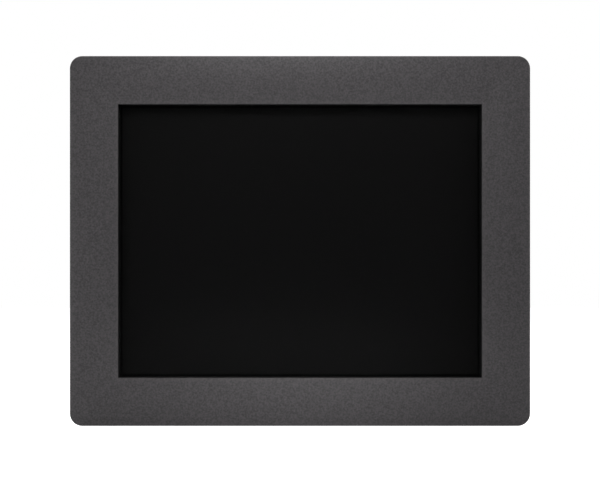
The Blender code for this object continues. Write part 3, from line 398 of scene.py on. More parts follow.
@dataclass(frozen=True)
class Finish:
    """A surface finish: what its maker would state, with a cloudy colour and a fine grain.

    Attributes:
        name: the material's name.
        slot: the record's material slot; not used.
        colour: sRGB hex value.
        darker: sRGB hex value of the other end of its colour's variation, or "" for none.
        roughness: middle roughness.
        spread: how far the roughness varies to each side.
        metallic: 1 for bare metal.
        cloud_mm: size of the colour's clouds.
        grain_mm: size of the surface's grain.
        relief_mm: height of the grain.
        specular: 0.5 for a plain surface, less for one with an anti-reflection coat.
    """

    name: str
    slot: str
    colour: str
    darker: str = ""
    roughness: float = 0.5
    spread: float = 0.04
    metallic: float = 0.0
    cloud_mm: float = 12.0
    grain_mm: float = 0.6
    relief_mm: float = 0.01
    specular: float = 0.5

    def material(self) -> bpy.types.Material:
        """The finish as a material, made once.

        Returns:
            The material.
        """
        made = bpy.data.materials.get(self.name)
        if made is None:
            made = bpy.data.materials.new(self.name)
            made.use_nodes = True
            tree = made.node_tree
            shader = tree.nodes["Principled BSDF"]
            shader.inputs["Base Color"].default_value = srgb(self.colour)
            shader.inputs["Roughness"].default_value = self.roughness
            shader.inputs["Metallic"].default_value = self.metallic
            shader.inputs["Specular IOR Level"].default_value = self.specular
            self.dress(tree, shader, add_node(tree, "ShaderNodeTexCoord").outputs["Object"])
        return made

    def dress(self, tree: NodeTree, shader: bpy.types.Node, place: Socket) -> None:
        """Draws the clouds, the grain and the uneven gloss.

        Args:
            tree: the material's tree.
            shader: its Principled shader.
            place: the socket of object coordinates.
        """
        clouds = self.pattern(tree, place, self.cloud_mm)
        if self.darker:
            self.blend(tree, clouds, shader)
        self.gloss(tree, clouds, shader)
        self.emboss(tree, self.pattern(tree, place, self.grain_mm), shader)

    def pattern(self, tree: NodeTree, place: Socket, size_mm: float) -> Socket:
        """Noise whose features are about size_mm wide, from 0 to 1.

        Args:
            tree: the material's tree.
            place: the socket of object coordinates.
            size_mm: width of a feature.

        Returns:
            The noise's socket.
        """
        values = {"Vector": place, "Scale": 1 / (size_mm * MM), "Detail": 2.0}
        noise = add_node(tree, "ShaderNodeTexNoise", None, values)
        spread = {"Value": noise.outputs[0], "From Min": 0.3, "From Max": 0.7}
        return add_node(tree, "ShaderNodeMapRange", None, spread).outputs[0]

    def blend(self, tree: NodeTree, share: Socket, shader: bpy.types.Node) -> None:
        """Varies the colour between the darker and the main one by a pattern."""
        colours = {0: share, 6: srgb(self.darker), 7: srgb(self.colour)}
        mixed = add_node(tree, "ShaderNodeMix", {"data_type": "RGBA"}, colours)
        tree.links.new(mixed.outputs[2], shader.inputs["Base Color"])

    def gloss(self, tree: NodeTree, share: Socket, shader: bpy.types.Node) -> None:
        """Varies the roughness by a pattern.

        Args:
            tree: the material's tree.
            share: the pattern's socket.
            shader: its Principled shader.
        """
        low, high = self.roughness - self.spread, self.roughness + self.spread
        ends = {"Value": share, "To Min": low, "To Max": high}
        uneven = add_node(tree, "ShaderNodeMapRange", None, ends)
        tree.links.new(uneven.outputs[0], shader.inputs["Roughness"])

    def emboss(self, tree: NodeTree, height: Socket, shader: bpy.types.Node) -> None:
        """Raises the surface by a pattern, if the finish has any relief.

        Args:
            tree: the material's tree.
            height: the pattern's socket.
            shader: its Principled shader.
        """
        if not self.relief_mm:
            return
        bump = add_node(tree, "ShaderNodeBump", None, {"Height": height, "Distance": self.relief_mm * MM})
        tree.links.new(bump.outputs[0], shader.inputs["Normal"])


@dataclass(frozen=True)
class BezelCoatWithHighlight(Finish):
    """Fine-texture polyester powder coat, speckled, with a painted highlight: lighter towards the window and
    the plate's outer edge.

    Attributes:
        window: width and height of the window.
        outline: width and height of the plate.
        highlight_mm: how wide the painted highlight is.
        rim: sRGB hex value of the painted highlight added at the window.
        border: sRGB hex value of the painted highlight added at the outer edge.
    """

    window: Point = (310.2, 233.2)
    outline: Point = (392.0, 315.0)
    highlight_mm: float = 4.5
    rim: str = "181717"
    border: str = "181717"

    def dress(self, tree: NodeTree, shader: bpy.types.Node, place: Socket) -> None:
        """Speckles the coat, paints a highlight round the window and the edge, and raises its grain.

        Args:
            tree: the material's tree.
            shader: its Principled shader.
            place: the socket of object coordinates.
        """
        grain = self.pattern(tree, place, self.grain_mm)
        colours = {0: grain, 6: srgb(self.darker), 7: srgb(self.colour)}
        coat = add_node(tree, "ShaderNodeMix", {"data_type": "RGBA"}, colours).outputs[2]
        axes = add_node(tree, "ShaderNodeSeparateXYZ", None, {0: place}).outputs
        # Painted highlight: a lighter colour is added round the window and round the outer edge, fading out
        # inwards.
        for size, highlight, way in ((self.window, self.rim, 1), (self.outline, self.border, -1)):
            reaches = []
            for axis, side in ((0, size[0]), (2, size[1])):
                distance = add_node(tree, "ShaderNodeMath", {"operation": "ABSOLUTE"}, {0: axes[axis]})
                past = {0: distance.outputs[0], 1: side / 2 * MM}
                reaches.append(add_node(tree, "ShaderNodeMath", {"operation": "SUBTRACT"}, past).outputs[0])
            outside = add_node(tree, "ShaderNodeMath", {"operation": "MAXIMUM"}, dict(enumerate(reaches)))
            highlight_falloff = {"Value": outside.outputs[0], "From Min": 0.0, "From Max": way * self.highlight_mm * MM}
            highlight_falloff |= {"To Min": 1.0, "To Max": 0.0}
            near = add_node(tree, "ShaderNodeMapRange", None, highlight_falloff).outputs[0]
            highlighted = {0: near, 6: coat, 7: srgb(highlight)}
            mode = {"data_type": "RGBA", "blend_type": "ADD"}
            coat = add_node(tree, "ShaderNodeMix", mode, highlighted).outputs[2]
        tree.links.new(coat, shader.inputs["Base Color"])
        self.gloss(tree, self.pattern(tree, place, self.cloud_mm), shader)
        self.emboss(tree, grain, shader)


@dataclass(frozen=True)
class ClearLayer(Finish):
    """A dark layer that lets what is behind it show faintly.

    Attributes:
        cover: share of the view that the layer itself takes.
    """

    cover: float = 0.3

    def dress(self, tree: NodeTree, shader: bpy.types.Node, place: Socket) -> None:
        """Sets the cover and raises the etched grain."""
        shader.inputs["Alpha"].default_value = self.cover
        super().dress(tree, shader, place)


@dataclass(frozen=True)
class DrawnMetal(Finish):
    """Metal with fine lines along one axis, from rolling, drawing or extrusion.

    Attributes:
        along: 0, 1 or 2 for lines along X, Y or Z.
        stretch: how many times longer than wide the lines are.
    """

    along: int = 2
    stretch: float = 60.0

    def dress(self, tree: NodeTree, shader: bpy.types.Node, place: Socket) -> None:
        """Draws the lines in the gloss and the relief, and clouds in the colour.

        Args:
            tree: the material's tree.
            shader: its Principled shader.
            place: the socket of object coordinates.
        """
        scale = [1.0, 1.0, 1.0]
        scale[self.along] = 1 / self.stretch
        drawn = add_node(tree, "ShaderNodeMapping", None, {"Vector": place, "Scale": scale}).outputs[0]
        lines = self.pattern(tree, drawn, self.grain_mm)
        if self.darker:
            self.blend(tree, self.pattern(tree, place, self.cloud_mm), shader)
        self.gloss(tree, lines, shader)
        self.emboss(tree, lines, shader)


@dataclass(frozen=True)
class Laminate(Finish):
    """Green solder mask over a copper pattern of blocks and tracks.

    Attributes:
        copper: sRGB hex value of the mask over copper.
        block_mm: size of the pattern's blocks.
    """

    copper: str = "2f6b45"
    block_mm: float = 3.2

    def dress(self, tree: NodeTree, shader: bpy.types.Node, place: Socket) -> None:
        """Draws the copper blocks under the mask, a little raised.

        Args:
            tree: the material's tree.
            shader: its Principled shader.
            place: the socket of object coordinates.
        """
        values = {"Vector": place, "Scale": 1 / (self.block_mm * MM), "Randomness": 0.8}
        settings = {"distance": "CHEBYCHEV", "feature": "F1"}
        cells = add_node(tree, "ShaderNodeTexVoronoi", settings, values)
        edge = {"Value": cells.outputs["Distance"], "From Min": 0.34, "From Max": 0.4}
        edge |= {"To Min": 1.0, "To Max": 0.0}
        block = add_node(tree, "ShaderNodeMapRange", None, edge).outputs[0]
        colours = {0: block, 6: srgb(self.colour), 7: srgb(self.copper)}
        mixed = add_node(tree, "ShaderNodeMix", {"data_type": "RGBA"}, colours)
        tree.links.new(mixed.outputs[2], shader.inputs["Base Color"])
        self.gloss(tree, block, shader)
        self.emboss(tree, block, shader)


# Fine-texture powder coat on the bezel: flat dark grey, faintly speckled, with a soft broad sheen and a
# painted highlight round the window and the outer edge. The grains are about 0.5 mm on the real coat, and are
# drawn 1.5 mm wide because finer ones would not show.
BEZEL_COAT_WITH_HIGHLIGHT = BezelCoatWithHighlight(
    "fine_texture_powder_coat_with_painted_highlight", "bezel_powder_coat", "4e4b4d", "343234",
    roughness=0.58, spread=0.03, cloud_mm=25.0, grain_mm=1.5, relief_mm=0.02,
)
# The same coat in a darker shade on the bent sheet behind: the texture breaks up its highlights.
HOUSING_COAT = Finish(
    "powder_coated_sheet_steel", "housing_powder_coat", "37383b", "303134",
    roughness=0.55, spread=0.05, cloud_mm=18.0, grain_mm=0.9, relief_mm=0.03,
)
# Closed-cell sponge rubber: no gloss, pitted with small cells.
SPONGE = Finish(
    "closed_cell_sponge_rubber", "gasket_rubber", "1b1b1c", "121213",
    roughness=0.9, spread=0.05, cloud_mm=8.0, grain_mm=0.7, relief_mm=0.08,
)
# Acid-etched glass with an anti-reflection coat, over a touch film: dark, and reflections melt into a faint
# haze.
ETCHED_GLASS = ClearLayer(
    "acid_etched_touch_glass", "screen_glass", "0a0a0a",
    roughness=0.24, spread=0.01, cloud_mm=60.0, grain_mm=0.5, relief_mm=0.0, specular=0.04, cover=0.3,
)
# Iodine polariser over the liquid crystal when it's off: deep neutral grey. The glass in front covers a share
# of it, so its colour here is lighter than the eye sees it.
POLARISER = Finish(
    "hard_coated_polariser", "display_cell", "272727",
    roughness=0.34, spread=0.01, cloud_mm=60.0, grain_mm=0.5, relief_mm=0.0, specular=0.04,
)
# Chrome black matrix printed on the cell's edge glass: nearly no light comes back.
BLACK_MATRIX = Finish(
    "black_matrix_glass", "display_cell", "050505",
    roughness=0.3, spread=0.01, cloud_mm=60.0, grain_mm=0.5, relief_mm=0.0, specular=0.04,
)
# Cathodic dip coat on the display's stamped frame: black, smooth, satin.
DIP_COAT = Finish(
    "black_dip_coated_steel", "black_coated_steel", "0f0f10", "0b0b0c",
    roughness=0.5, spread=0.05, cloud_mm=10.0, grain_mm=0.8, relief_mm=0.004,
)
# Zinc plate with blue passivation on turned and stamped steel: bright but cloudy, slightly blue.
ZINC = Finish(
    "blue_passivated_zinc_plate", "zinc_plated_steel", "b9bec4", "9ea2a6",
    roughness=0.32, spread=0.08, metallic=1.0, cloud_mm=5.0, grain_mm=0.5, relief_mm=0.006,
)
# Extruded aluminium with clear anodising: satin, with die lines along the fins.
ANODISED = DrawnMetal(
    "anodised_extruded_aluminium", "anodised_aluminium", "c3c6ca", "b2b5ba",
    roughness=0.36, spread=0.07, metallic=1.0, cloud_mm=22.0, grain_mm=0.35, relief_mm=0.006,
)
# Nickel on a deep-drawn shell: warm, bright, finely drawn towards its mouth.
NICKEL = DrawnMetal(
    "nickel_plated_shell", "nickel_shell", "c9c3b6", "b3ad9f",
    roughness=0.24, spread=0.06, metallic=1.0, cloud_mm=4.0, grain_mm=0.25, relief_mm=0.004, stretch=20.0,
)
# Gold flash on spring contacts: smooth and warm.
GOLD = Finish(
    "gold_flashed_contact", "nickel_shell", "e2b45c", "c99b48",
    roughness=0.22, spread=0.04, metallic=1.0, cloud_mm=1.5, grain_mm=0.3, relief_mm=0.001,
)
# Glass-filled nylon, moulded in an eroded tool: black, low sheen, faintly sparkly texture.
NYLON = Finish(
    "moulded_black_nylon", "black_plastic", "1c1c1d", "161617",
    roughness=0.46, spread=0.06, cloud_mm=6.0, grain_mm=0.35, relief_mm=0.012,
)
# Polished black polycarbonate of the rocker and the button: smooth, with sharper reflections.
POLYCARBONATE = Finish(
    "polished_black_polycarbonate", "black_plastic", "151516",
    roughness=0.22, spread=0.03, cloud_mm=10.0, grain_mm=0.8, relief_mm=0.002,
)
# White marking ink, pad-printed: flat and chalky.
MARKING = Finish(
    "white_marking_ink", "backlight_moulding", "d9d9d4", "c8c8c2",
    roughness=0.6, spread=0.05, cloud_mm=1.0, grain_mm=0.3, relief_mm=0.002,
)
# Clear lens of a moulded light guide, green and amber.
GREEN_LENS = Finish(
    "green_light_guide", "backlight_moulding", "5f9a4a", "4f8a3c",
    roughness=0.18, spread=0.03, cloud_mm=1.0, grain_mm=0.5, relief_mm=0.001,
)
AMBER_LENS = Finish(
    "amber_light_guide", "backlight_moulding", "c08a35", "ad7a2a",
    roughness=0.18, spread=0.03, cloud_mm=1.0, grain_mm=0.5, relief_mm=0.001,
)
# Blue moulded tongue of the fast serial-bus sockets.
BLUE_NYLON = Finish(
    "moulded_blue_nylon", "black_plastic", "2b5c9e", "24508c",
    roughness=0.4, spread=0.05, cloud_mm=3.0, grain_mm=0.35, relief_mm=0.008,
)
# White moulding and foils of the backlight's edge.
WHITE_MOULDING = Finish(
    "white_backlight_moulding", "backlight_moulding", "dcdcd6", "d0d0ca",
    roughness=0.42, spread=0.05, cloud_mm=20.0, grain_mm=0.8, relief_mm=0.01,
)
# Solder mask over copper and glass fibre.
BOARD = Laminate(
    "solder_masked_board", "circuit_board", "17472b",
    roughness=0.34, spread=0.06, cloud_mm=20.0, grain_mm=0.5, relief_mm=0.035,
)
# Stainless can of the coin cell: brushed across its face.
CELL_CAN = DrawnMetal(
    "brushed_coin_cell_can", "battery_steel", "c4c4c2", "b0b0ae",
    roughness=0.3, spread=0.06, metallic=1.0, cloud_mm=8.0, grain_mm=0.2, relief_mm=0.004, along=0,
)


# Pieces


class Piece:
    # Corners closer than this after a Boolean are one corner.
    WELD = 0.004
    # A face whose normal is this near to an axis is flat. The rest are rounded edges and turned surfaces.
    SQUARE = 0.9999
    # Edges sharper than this, in degrees, stay crisp.
    CRISP = 38

    def __init__(self, name: str, shape: Shape) -> None:
        """Starts a piece from a shape, which is used up.

        Args:
            name: its name, without product words.
            shape: its shape in millimetres, which is used up.
        """
        mesh = bpy.data.meshes.new(name)
        shape.to_mesh(mesh)
        shape.free()
        self.object = bpy.data.objects.new(name, mesh)
        bpy.context.scene.collection.objects.link(self.object)

    def settle(self) -> "Piece":
        """Turns the modifiers' result into a plain mesh.

        Returns:
            The piece.
        """
        graph = bpy.context.evaluated_depsgraph_get()
        mesh = bpy.data.meshes.new_from_object(self.object.evaluated_get(graph))
        self.object.modifiers.clear()
        old = self.object.data
        self.object.data = mesh
        bpy.data.meshes.remove(old)
        return self

    def cut(self, *tools: Shape) -> "Piece":
        """Takes closed shapes away from the piece, in one cut."""
        return self.combine(gathered(tools), "DIFFERENCE")

    def join(self, *others: Shape) -> "Piece":
        """Joins closed shapes to the piece, one after the other."""
        for other in others:
            self.combine(other, "UNION")
        return self

    def combine(self, other: Shape, operation: str) -> "Piece":
        """Runs one Boolean with another shape.

        Args:
            other: the other shape, which is used up.
            operation: the Boolean's name.

        Returns:
            The piece.
        """
        tool = Piece("tool", other)
        modifier = self.object.modifiers.new("combine", "BOOLEAN")
        modifier.operation = operation
        modifier.solver = "EXACT"
        modifier.object = tool.object
        self.settle()
        bpy.data.objects.remove(tool.object)
        shape = bmesh.new()
        shape.from_mesh(self.object.data)
        bmesh.ops.remove_doubles(shape, verts=shape.verts, dist=self.WELD)
        shape.to_mesh(self.object.data)
        shape.free()
        return self

    def soften(self, width: float, degrees: float = 40, steps: int = 2) -> "Piece":
        """Rounds every edge sharper than an angle.

        Args:
            width: how wide the rounding is.
            degrees: the angle.
            steps: sides of the rounding.

        Returns:
            The piece.
        """
        modifier = self.object.modifiers.new("soften", "BEVEL")
        modifier.width = width
        modifier.segments = steps
        modifier.limit_method = "ANGLE"
        modifier.angle_limit = math.radians(degrees)
        return self.settle()

    def grow(self, tree: NodeTree, finish: Finish, values: dict) -> "Piece":
        """Runs a Geometry Nodes tree on the piece.

        Args:
            tree: the tree.
            finish: what its result is dressed in.
            values: a value for each of its named inputs.

        Returns:
            The piece, as a plain mesh.
        """
        modifier = self.object.modifiers.new(tree.name, "NODES")
        modifier.node_group = tree
        values = {**values, "Finish": finish.material()}
        for item in tree.interface.items_tree:
            if item.in_out == "INPUT" and item.name in values:
                modifier[item.identifier] = values[item.name]
        return self.settle()

    def copied(self, name: str, turn: Matrix) -> "Piece":
        """A copy of the piece, put elsewhere."""
        shape = bmesh.new()
        shape.from_mesh(self.object.data)
        return Piece(name, moved(shape, turn))

    def discard(self) -> None:
        """Removes a piece that was only a pattern for copies."""
        bpy.data.objects.remove(self.object)

    def finish(self, body: str, finish: Finish, *nodes: str) -> bpy.types.Object:
        """Writes the mesh in metres, shades it, dresses it and puts it on its body.

        Args:
            body: the body that it rides on.
            finish: its finish.
            nodes: the CAD nodes that it stands for.

        Returns:
            The finished object.
        """
        mesh = self.object.data
        mesh.transform(Matrix.Scale(MM, 4))
        for face in mesh.polygons:
            face.use_smooth = max(abs(n) for n in face.normal) < self.SQUARE
        mesh.set_sharp_from_angle(angle=math.radians(self.CRISP))
        mesh.materials.clear()
        mesh.materials.append(finish.material())
        for face in mesh.polygons:
            face.material_index = 0
        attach(self.object, body)
        if nodes:
            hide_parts(*nodes)
        LOG.info("%s: %d faces, %s, on %s", self.object.name, len(mesh.polygons), finish.name, body)
        return self.object


class Frame:
    """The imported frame's nodes, for taking copies and for dressing those that stay."""

    # Corners of a node's loose triangles that are closer than this are one corner.
    WELD = 0.002

    def __init__(self, nodes: dict[str, bpy.types.Object]) -> None:
        """Keeps the nodes."""
        self.nodes = nodes

    def copy(self, node: str, name: str) -> Piece:
        """A merged copy of a node, in millimetres, with its flat faces whole.

        Args:
            node: the node.
            name: the copy's name.

        Returns:
            The copy.
        """
        shape = bmesh.new()
        shape.from_mesh(self.nodes[node].data)
        bmesh.ops.scale(shape, vec=(1 / MM,) * 3, verts=shape.verts)
        bmesh.ops.remove_doubles(shape, verts=shape.verts, dist=self.WELD)
        bmesh.ops.dissolve_limit(shape, angle_limit=math.radians(1), verts=shape.verts, edges=shape.edges)
        bmesh.ops.recalc_face_normals(shape, faces=shape.faces)
        return Piece(name, shape)

    def dress(self, finish: Finish, *nodes: str) -> None:
        """Gives nodes that stay a finish.

        Args:
            finish: the finish.
            nodes: the nodes' names.
        """
        for node in nodes:
            mesh = self.nodes[node].data
            mesh.materials.clear()
            mesh.materials.append(finish.material())
            LOG.info("%s stays: %s", node, finish.name)


# Geometry Nodes trees. Each ends in Realize Instances and Set Material.


class Tree:
    """A Geometry Nodes tree under construction."""

    def __init__(self, name: str, inputs: dict[str, str]) -> None:
        """Opens a tree.

        Args:
            name: the tree's name.
            inputs: the socket kind of each named input, such as Float.
        """
        self.tree = bpy.data.node_groups.new(name, "GeometryNodeTree")
        for label, kind in {"Geometry": "Geometry", **inputs, "Finish": "Material"}.items():
            self.tree.interface.new_socket(name=label, in_out="INPUT", socket_type=f"NodeSocket{kind}")
        self.tree.interface.new_socket(name="Geometry", in_out="OUTPUT", socket_type="NodeSocketGeometry")
        self.given = add_node(self.tree, "NodeGroupInput").outputs

    def add(self, kind: str, links: dict | None = None, **settings: str) -> Socket:
        """Adds a geometry node, and returns its first output."""
        return add_node(self.tree, f"GeometryNode{kind}", settings, links).outputs[0]

    def math(self, operation: str, *values: Value) -> Socket:
        """Adds a sum on numbers or sockets, and returns its result."""
        node = add_node(self.tree, "ShaderNodeMath", {"operation": operation}, dict(enumerate(values)))
        return node.outputs[0]

    def vector(self, x: Value = 0.0, y: Value = 0.0, z: Value = 0.0) -> Socket:
        """A vector from three numbers or sockets."""
        return add_node(self.tree, "ShaderNodeCombineXYZ", None, {0: x, 1: y, 2: z}).outputs[0]

    def close(self, geometry: Socket) -> NodeTree:
        """Ends the tree, and returns it.

        Args:
            geometry: the finished geometry.

        Returns:
            The tree.
        """
        real = self.add("RealizeInstances", {"Geometry": geometry})
        dressed = self.add("SetMaterial", {"Geometry": real, "Material": self.given["Finish"]})
        add_node(self.tree, "NodeGroupOutput", None, {0: dressed})
        return self.tree


@cache
def perforation_tree() -> NodeTree:
    """Punches a row of round-ended slots: slots lie along X and go through along Y until Turn turns them.

    Returns:
        The tree.
    """
    kinds = {"Start": "Vector", "Step": "Vector", "Count": "Int", "Length": "Float", "Width": "Float"}
    tree = Tree("perforation", {**kinds, "Depth": "Float", "Turn": "Vector"})
    given = tree.given
    outline = tree.add("CurvePrimitiveQuadrilateral", {"Width": given["Length"], "Height": given["Width"]})
    radius = tree.math("MULTIPLY", given["Width"], 0.499)
    ends = {"Curve": outline, "Count": 6, "Radius": radius}
    slot = tree.add("FilletCurve", ends, mode="POLY")
    half = tree.math("MULTIPLY", given["Depth"], 0.5)
    back = tree.math("MULTIPLY", given["Depth"], -0.5)
    way = tree.add("CurvePrimitiveLine", {"Start": tree.vector(y=back), "End": tree.vector(y=half)})
    punch = tree.add("CurveToMesh", {"Curve": way, "Profile Curve": slot, "Fill Caps": True})
    row = {"Count": given["Count"], "Start Location": given["Start"], "Offset": given["Step"]}
    spots = tree.add("MeshLine", row, mode="OFFSET")
    placed = {"Points": spots, "Instance": punch, "Rotation": given["Turn"]}
    punches = tree.add("RealizeInstances", {"Geometry": tree.add("InstanceOnPoints", placed)})
    sheets = {"Mesh 1": given["Geometry"], "Mesh 2": punches}
    return tree.close(tree.add("MeshBoolean", sheets, operation="DIFFERENCE", solver="EXACT"))


@cache
def thread_tree() -> NodeTree:
    """Winds a thread's ridge round a shank along Z, from Start upwards.

    Returns:
        The tree.
    """
    tree = Tree("thread", {"Radius": "Float", "Pitch": "Float", "Length": "Float", "Start": "Float"})
    given = tree.given
    ridge = tree.math("MULTIPLY", given["Pitch"], RIDGE)
    root = tree.math("SUBTRACT", given["Radius"], ridge)
    turns = tree.math("DIVIDE", given["Length"], given["Pitch"])
    wound = {"Resolution": 20, "Rotations": turns, "Start Radius": root, "End Radius": root}
    helix = tree.add("CurveSpiral", {**wound, "Height": given["Length"]})
    upright = tree.add("SetCurveNormal", {"Curve": helix}, mode="Z_UP")
    profile = tree.add("CurvePrimitiveCircle", {"Resolution": 3, "Radius": ridge}, mode="RADIUS")
    thread = tree.add("CurveToMesh", {"Curve": upright, "Profile Curve": profile, "Fill Caps": True})
    lifted = tree.add("Transform", {"Geometry": thread, "Translation": tree.vector(z=given["Start"])})
    both = add_node(tree.tree, "GeometryNodeJoinGeometry", None, {0: lifted})
    tree.tree.links.new(given["Geometry"], both.inputs[0])
    return tree.close(both.outputs[0])


@cache
def knurl_tree() -> NodeTree:
    """Presses crossed grooves into the outermost wall of a knob that stands on Z.

    Returns:
        The tree.
    """
    kinds = {"Radius": "Float", "Low": "Float", "High": "Float", "Teeth": "Float", "Depth": "Float"}
    tree = Tree("knurl", kinds)
    given = tree.given
    place = tree.add("InputPosition")
    axes = add_node(tree.tree, "ShaderNodeSeparateXYZ", None, {0: place}).outputs
    angle = tree.math("ARCTAN2", axes[1], axes[0])
    turn = tree.math("MULTIPLY", angle, tree.math("DIVIDE", given["Teeth"], math.tau))
    pitch = tree.math("DIVIDE", tree.math("MULTIPLY", given["Radius"], math.tau), given["Teeth"])
    rise = tree.math("DIVIDE", axes[2], pitch)
    one_way = tree.math("PINGPONG", tree.math("ADD", turn, rise), 0.5)
    other_way = tree.math("PINGPONG", tree.math("SUBTRACT", turn, rise), 0.5)
    tooth = tree.math("MULTIPLY", tree.math("MINIMUM", one_way, other_way), 2.0)
    sunk = tree.math("MULTIPLY", tree.math("SUBTRACT", tooth, 1.0), given["Depth"])
    level = {0: tree.vector(axes[0], axes[1])}
    reach = add_node(tree.tree, "ShaderNodeVectorMath", {"operation": "LENGTH"}, level)
    share = tree.math("DIVIDE", sunk, given["Radius"])
    shift = tree.vector(tree.math("MULTIPLY", axes[0], share), tree.math("MULTIPLY", axes[1], share))
    outer = tree.math("GREATER_THAN", reach.outputs["Value"], tree.math("SUBTRACT", given["Radius"], 0.05))
    above = tree.math("GREATER_THAN", axes[2], given["Low"])
    below = tree.math("LESS_THAN", axes[2], given["High"])
    chosen = tree.math("MULTIPLY", outer, tree.math("MULTIPLY", above, below))
    pressed = {"Geometry": given["Geometry"], "Selection": chosen, "Offset": shift}
    return tree.close(tree.add("SetPosition", pressed))


@cache
def fin_tree() -> NodeTree:
    """Stands a row of round-tipped fins along X on a base, each along Z, rising along Y from Foot.

    Returns:
        The tree.
    """
    kinds = {"Count": "Int", "Pitch": "Float", "Thickness": "Float", "Height": "Float", "Length": "Float"}
    tree = Tree("fins", {**kinds, "Foot": "Float"})
    given = tree.given
    section = {"Width": given["Thickness"], "Height": given["Height"]}
    outline = tree.add("CurvePrimitiveQuadrilateral", section)
    rounded = {"Curve": outline, "Count": 4, "Radius": tree.math("MULTIPLY", given["Thickness"], 0.42)}
    profile = tree.add("FilletCurve", rounded, mode="POLY")
    half = tree.math("MULTIPLY", given["Length"], 0.5)
    back = tree.math("MULTIPLY", given["Length"], -0.5)
    way = tree.add("CurvePrimitiveLine", {"Start": tree.vector(y=back), "End": tree.vector(y=half)})
    fin = tree.add("CurveToMesh", {"Curve": way, "Profile Curve": profile, "Fill Caps": True})
    gaps = tree.math("SUBTRACT", given["Count"], 1.0)
    first = tree.math("MULTIPLY", tree.math("MULTIPLY", gaps, given["Pitch"]), -0.5)
    middle = tree.math("ADD", given["Foot"], tree.math("MULTIPLY", given["Height"], 0.5))
    row = {"Count": given["Count"], "Start Location": tree.vector(first, middle)}
    row["Offset"] = tree.vector(given["Pitch"])
    spots = tree.add("MeshLine", row, mode="OFFSET")
    lying = {"Points": spots, "Instance": fin, "Rotation": (math.pi / 2, 0.0, 0.0)}
    fins = tree.add("InstanceOnPoints", lying)
    both = add_node(tree.tree, "GeometryNodeJoinGeometry", None, {0: fins})
    tree.tree.links.new(given["Geometry"], both.inputs[0])
    return tree.close(both.outputs[0])


@cache
def setting_tree() -> NodeTree:
    """Sets one part on every point, all turned the same way.

    Returns:
        The tree.
    """
    tree = Tree("setting", {"Part": "Object", "Turn": "Vector"})
    given = tree.given
    part = add_node(tree.tree, "GeometryNodeObjectInfo", {"transform_space": "ORIGINAL"}, {0: given["Part"]})
    placed = {"Points": given["Geometry"], "Instance": part.outputs["Geometry"], "Rotation": given["Turn"]}
    return tree.close(tree.add("InstanceOnPoints", placed))


class Way(Enum):
    """How a part that stands on +Z, or a slot that lies along X and goes through Y, is turned."""

    AS_MADE = (0.0, 0.0, 0.0)
    SLOT_UP = (0.0, math.pi / 2, 0.0)
    SLOT_IN_TOP = (math.pi / 2, 0.0, math.pi / 2)
    SLOT_IN_SIDE = (0.0, 0.0, math.pi / 2)
    TO_REAR = (-math.pi / 2, 0.0, 0.0)
    TO_BOTTOM = (math.pi, 0.0, 0.0)


@dataclass(frozen=True)
class VentRow:
    """A row of punched vents.

    Attributes:
        start: middle of the first slot.
        step: from one slot to the next.
        count: number of slots.
        length: length of a slot.
        way: how the slots are turned.
        width: width of a slot.
        reach: length of the punch.
    """

    start: Triple
    step: Triple
    count: int
    length: float
    way: Way
    width: float = 2.6
    reach: float = 6.0

    def punch(self, piece: Piece, finish: Finish) -> None:
        """Punches the row into a piece."""
        values = {"Start": self.start, "Step": self.step, "Count": self.count, "Length": self.length}
        values |= {"Width": self.width, "Depth": self.reach, "Turn": self.way.value}
        piece.grow(perforation_tree(), finish, values)


@dataclass(frozen=True)
class Screw:
    """A pan-head machine screw with a cross recess.

    Attributes:
        radius: thread radius.
        pitch: thread pitch.
        length: shank length.
        head_radius: head radius.
        head_height: head height.
    """

    radius: float
    pitch: float
    length: float
    head_radius: float
    head_height: float

    def make(self, name: str) -> Piece:
        """Makes the screw standing on its head's seat, head up.

        Args:
            name: the piece's name.

        Returns:
            The screw.
        """
        root = self.radius - RIDGE * self.pitch
        lead = 0.4 * self.pitch
        shank = [(0.96 * self.radius, 0.0), (root, -0.5 * self.pitch), (root, lead - self.length)]
        profile = pan_head(self.head_radius, self.head_height) + shank
        profile += [(root - lead, -self.length), (0.0, -self.length)]
        screw = Piece(name, lathe(profile))
        for bar in cross_bars(self.head_height, 1.15 * self.head_radius, 0.55 * self.head_height):
            screw.cut(bar)
        run = self.length - 1.6 * self.pitch
        values = {"Radius": self.radius, "Pitch": self.pitch, "Length": run}
        return screw.grow(thread_tree(), ZINC, {**values, "Start": 0.8 * self.pitch - self.length})


# Three-millimetre screw, eight long.
SMALL_SCREW = Screw(1.5, 0.5, 8.0, 2.8, 1.9)


def set_out(name: str, part: Piece, places: Iterable[Iterable[float]], way: Way, finish: Finish) -> Piece:
    """Sets copies of a part on places, as one piece, and removes the pattern.

    Args:
        name: the new piece's name.
        part: the pattern.
        places: where its origin goes each time.
        way: how it's turned.
        finish: what the piece is dressed in.

    Returns:
        The piece.
    """
    made = Piece(name, points(places))
    made.grow(setting_tree(), finish, {"Part": part.object, "Turn": way.value})
    part.discard()
    return made


# Assemblies


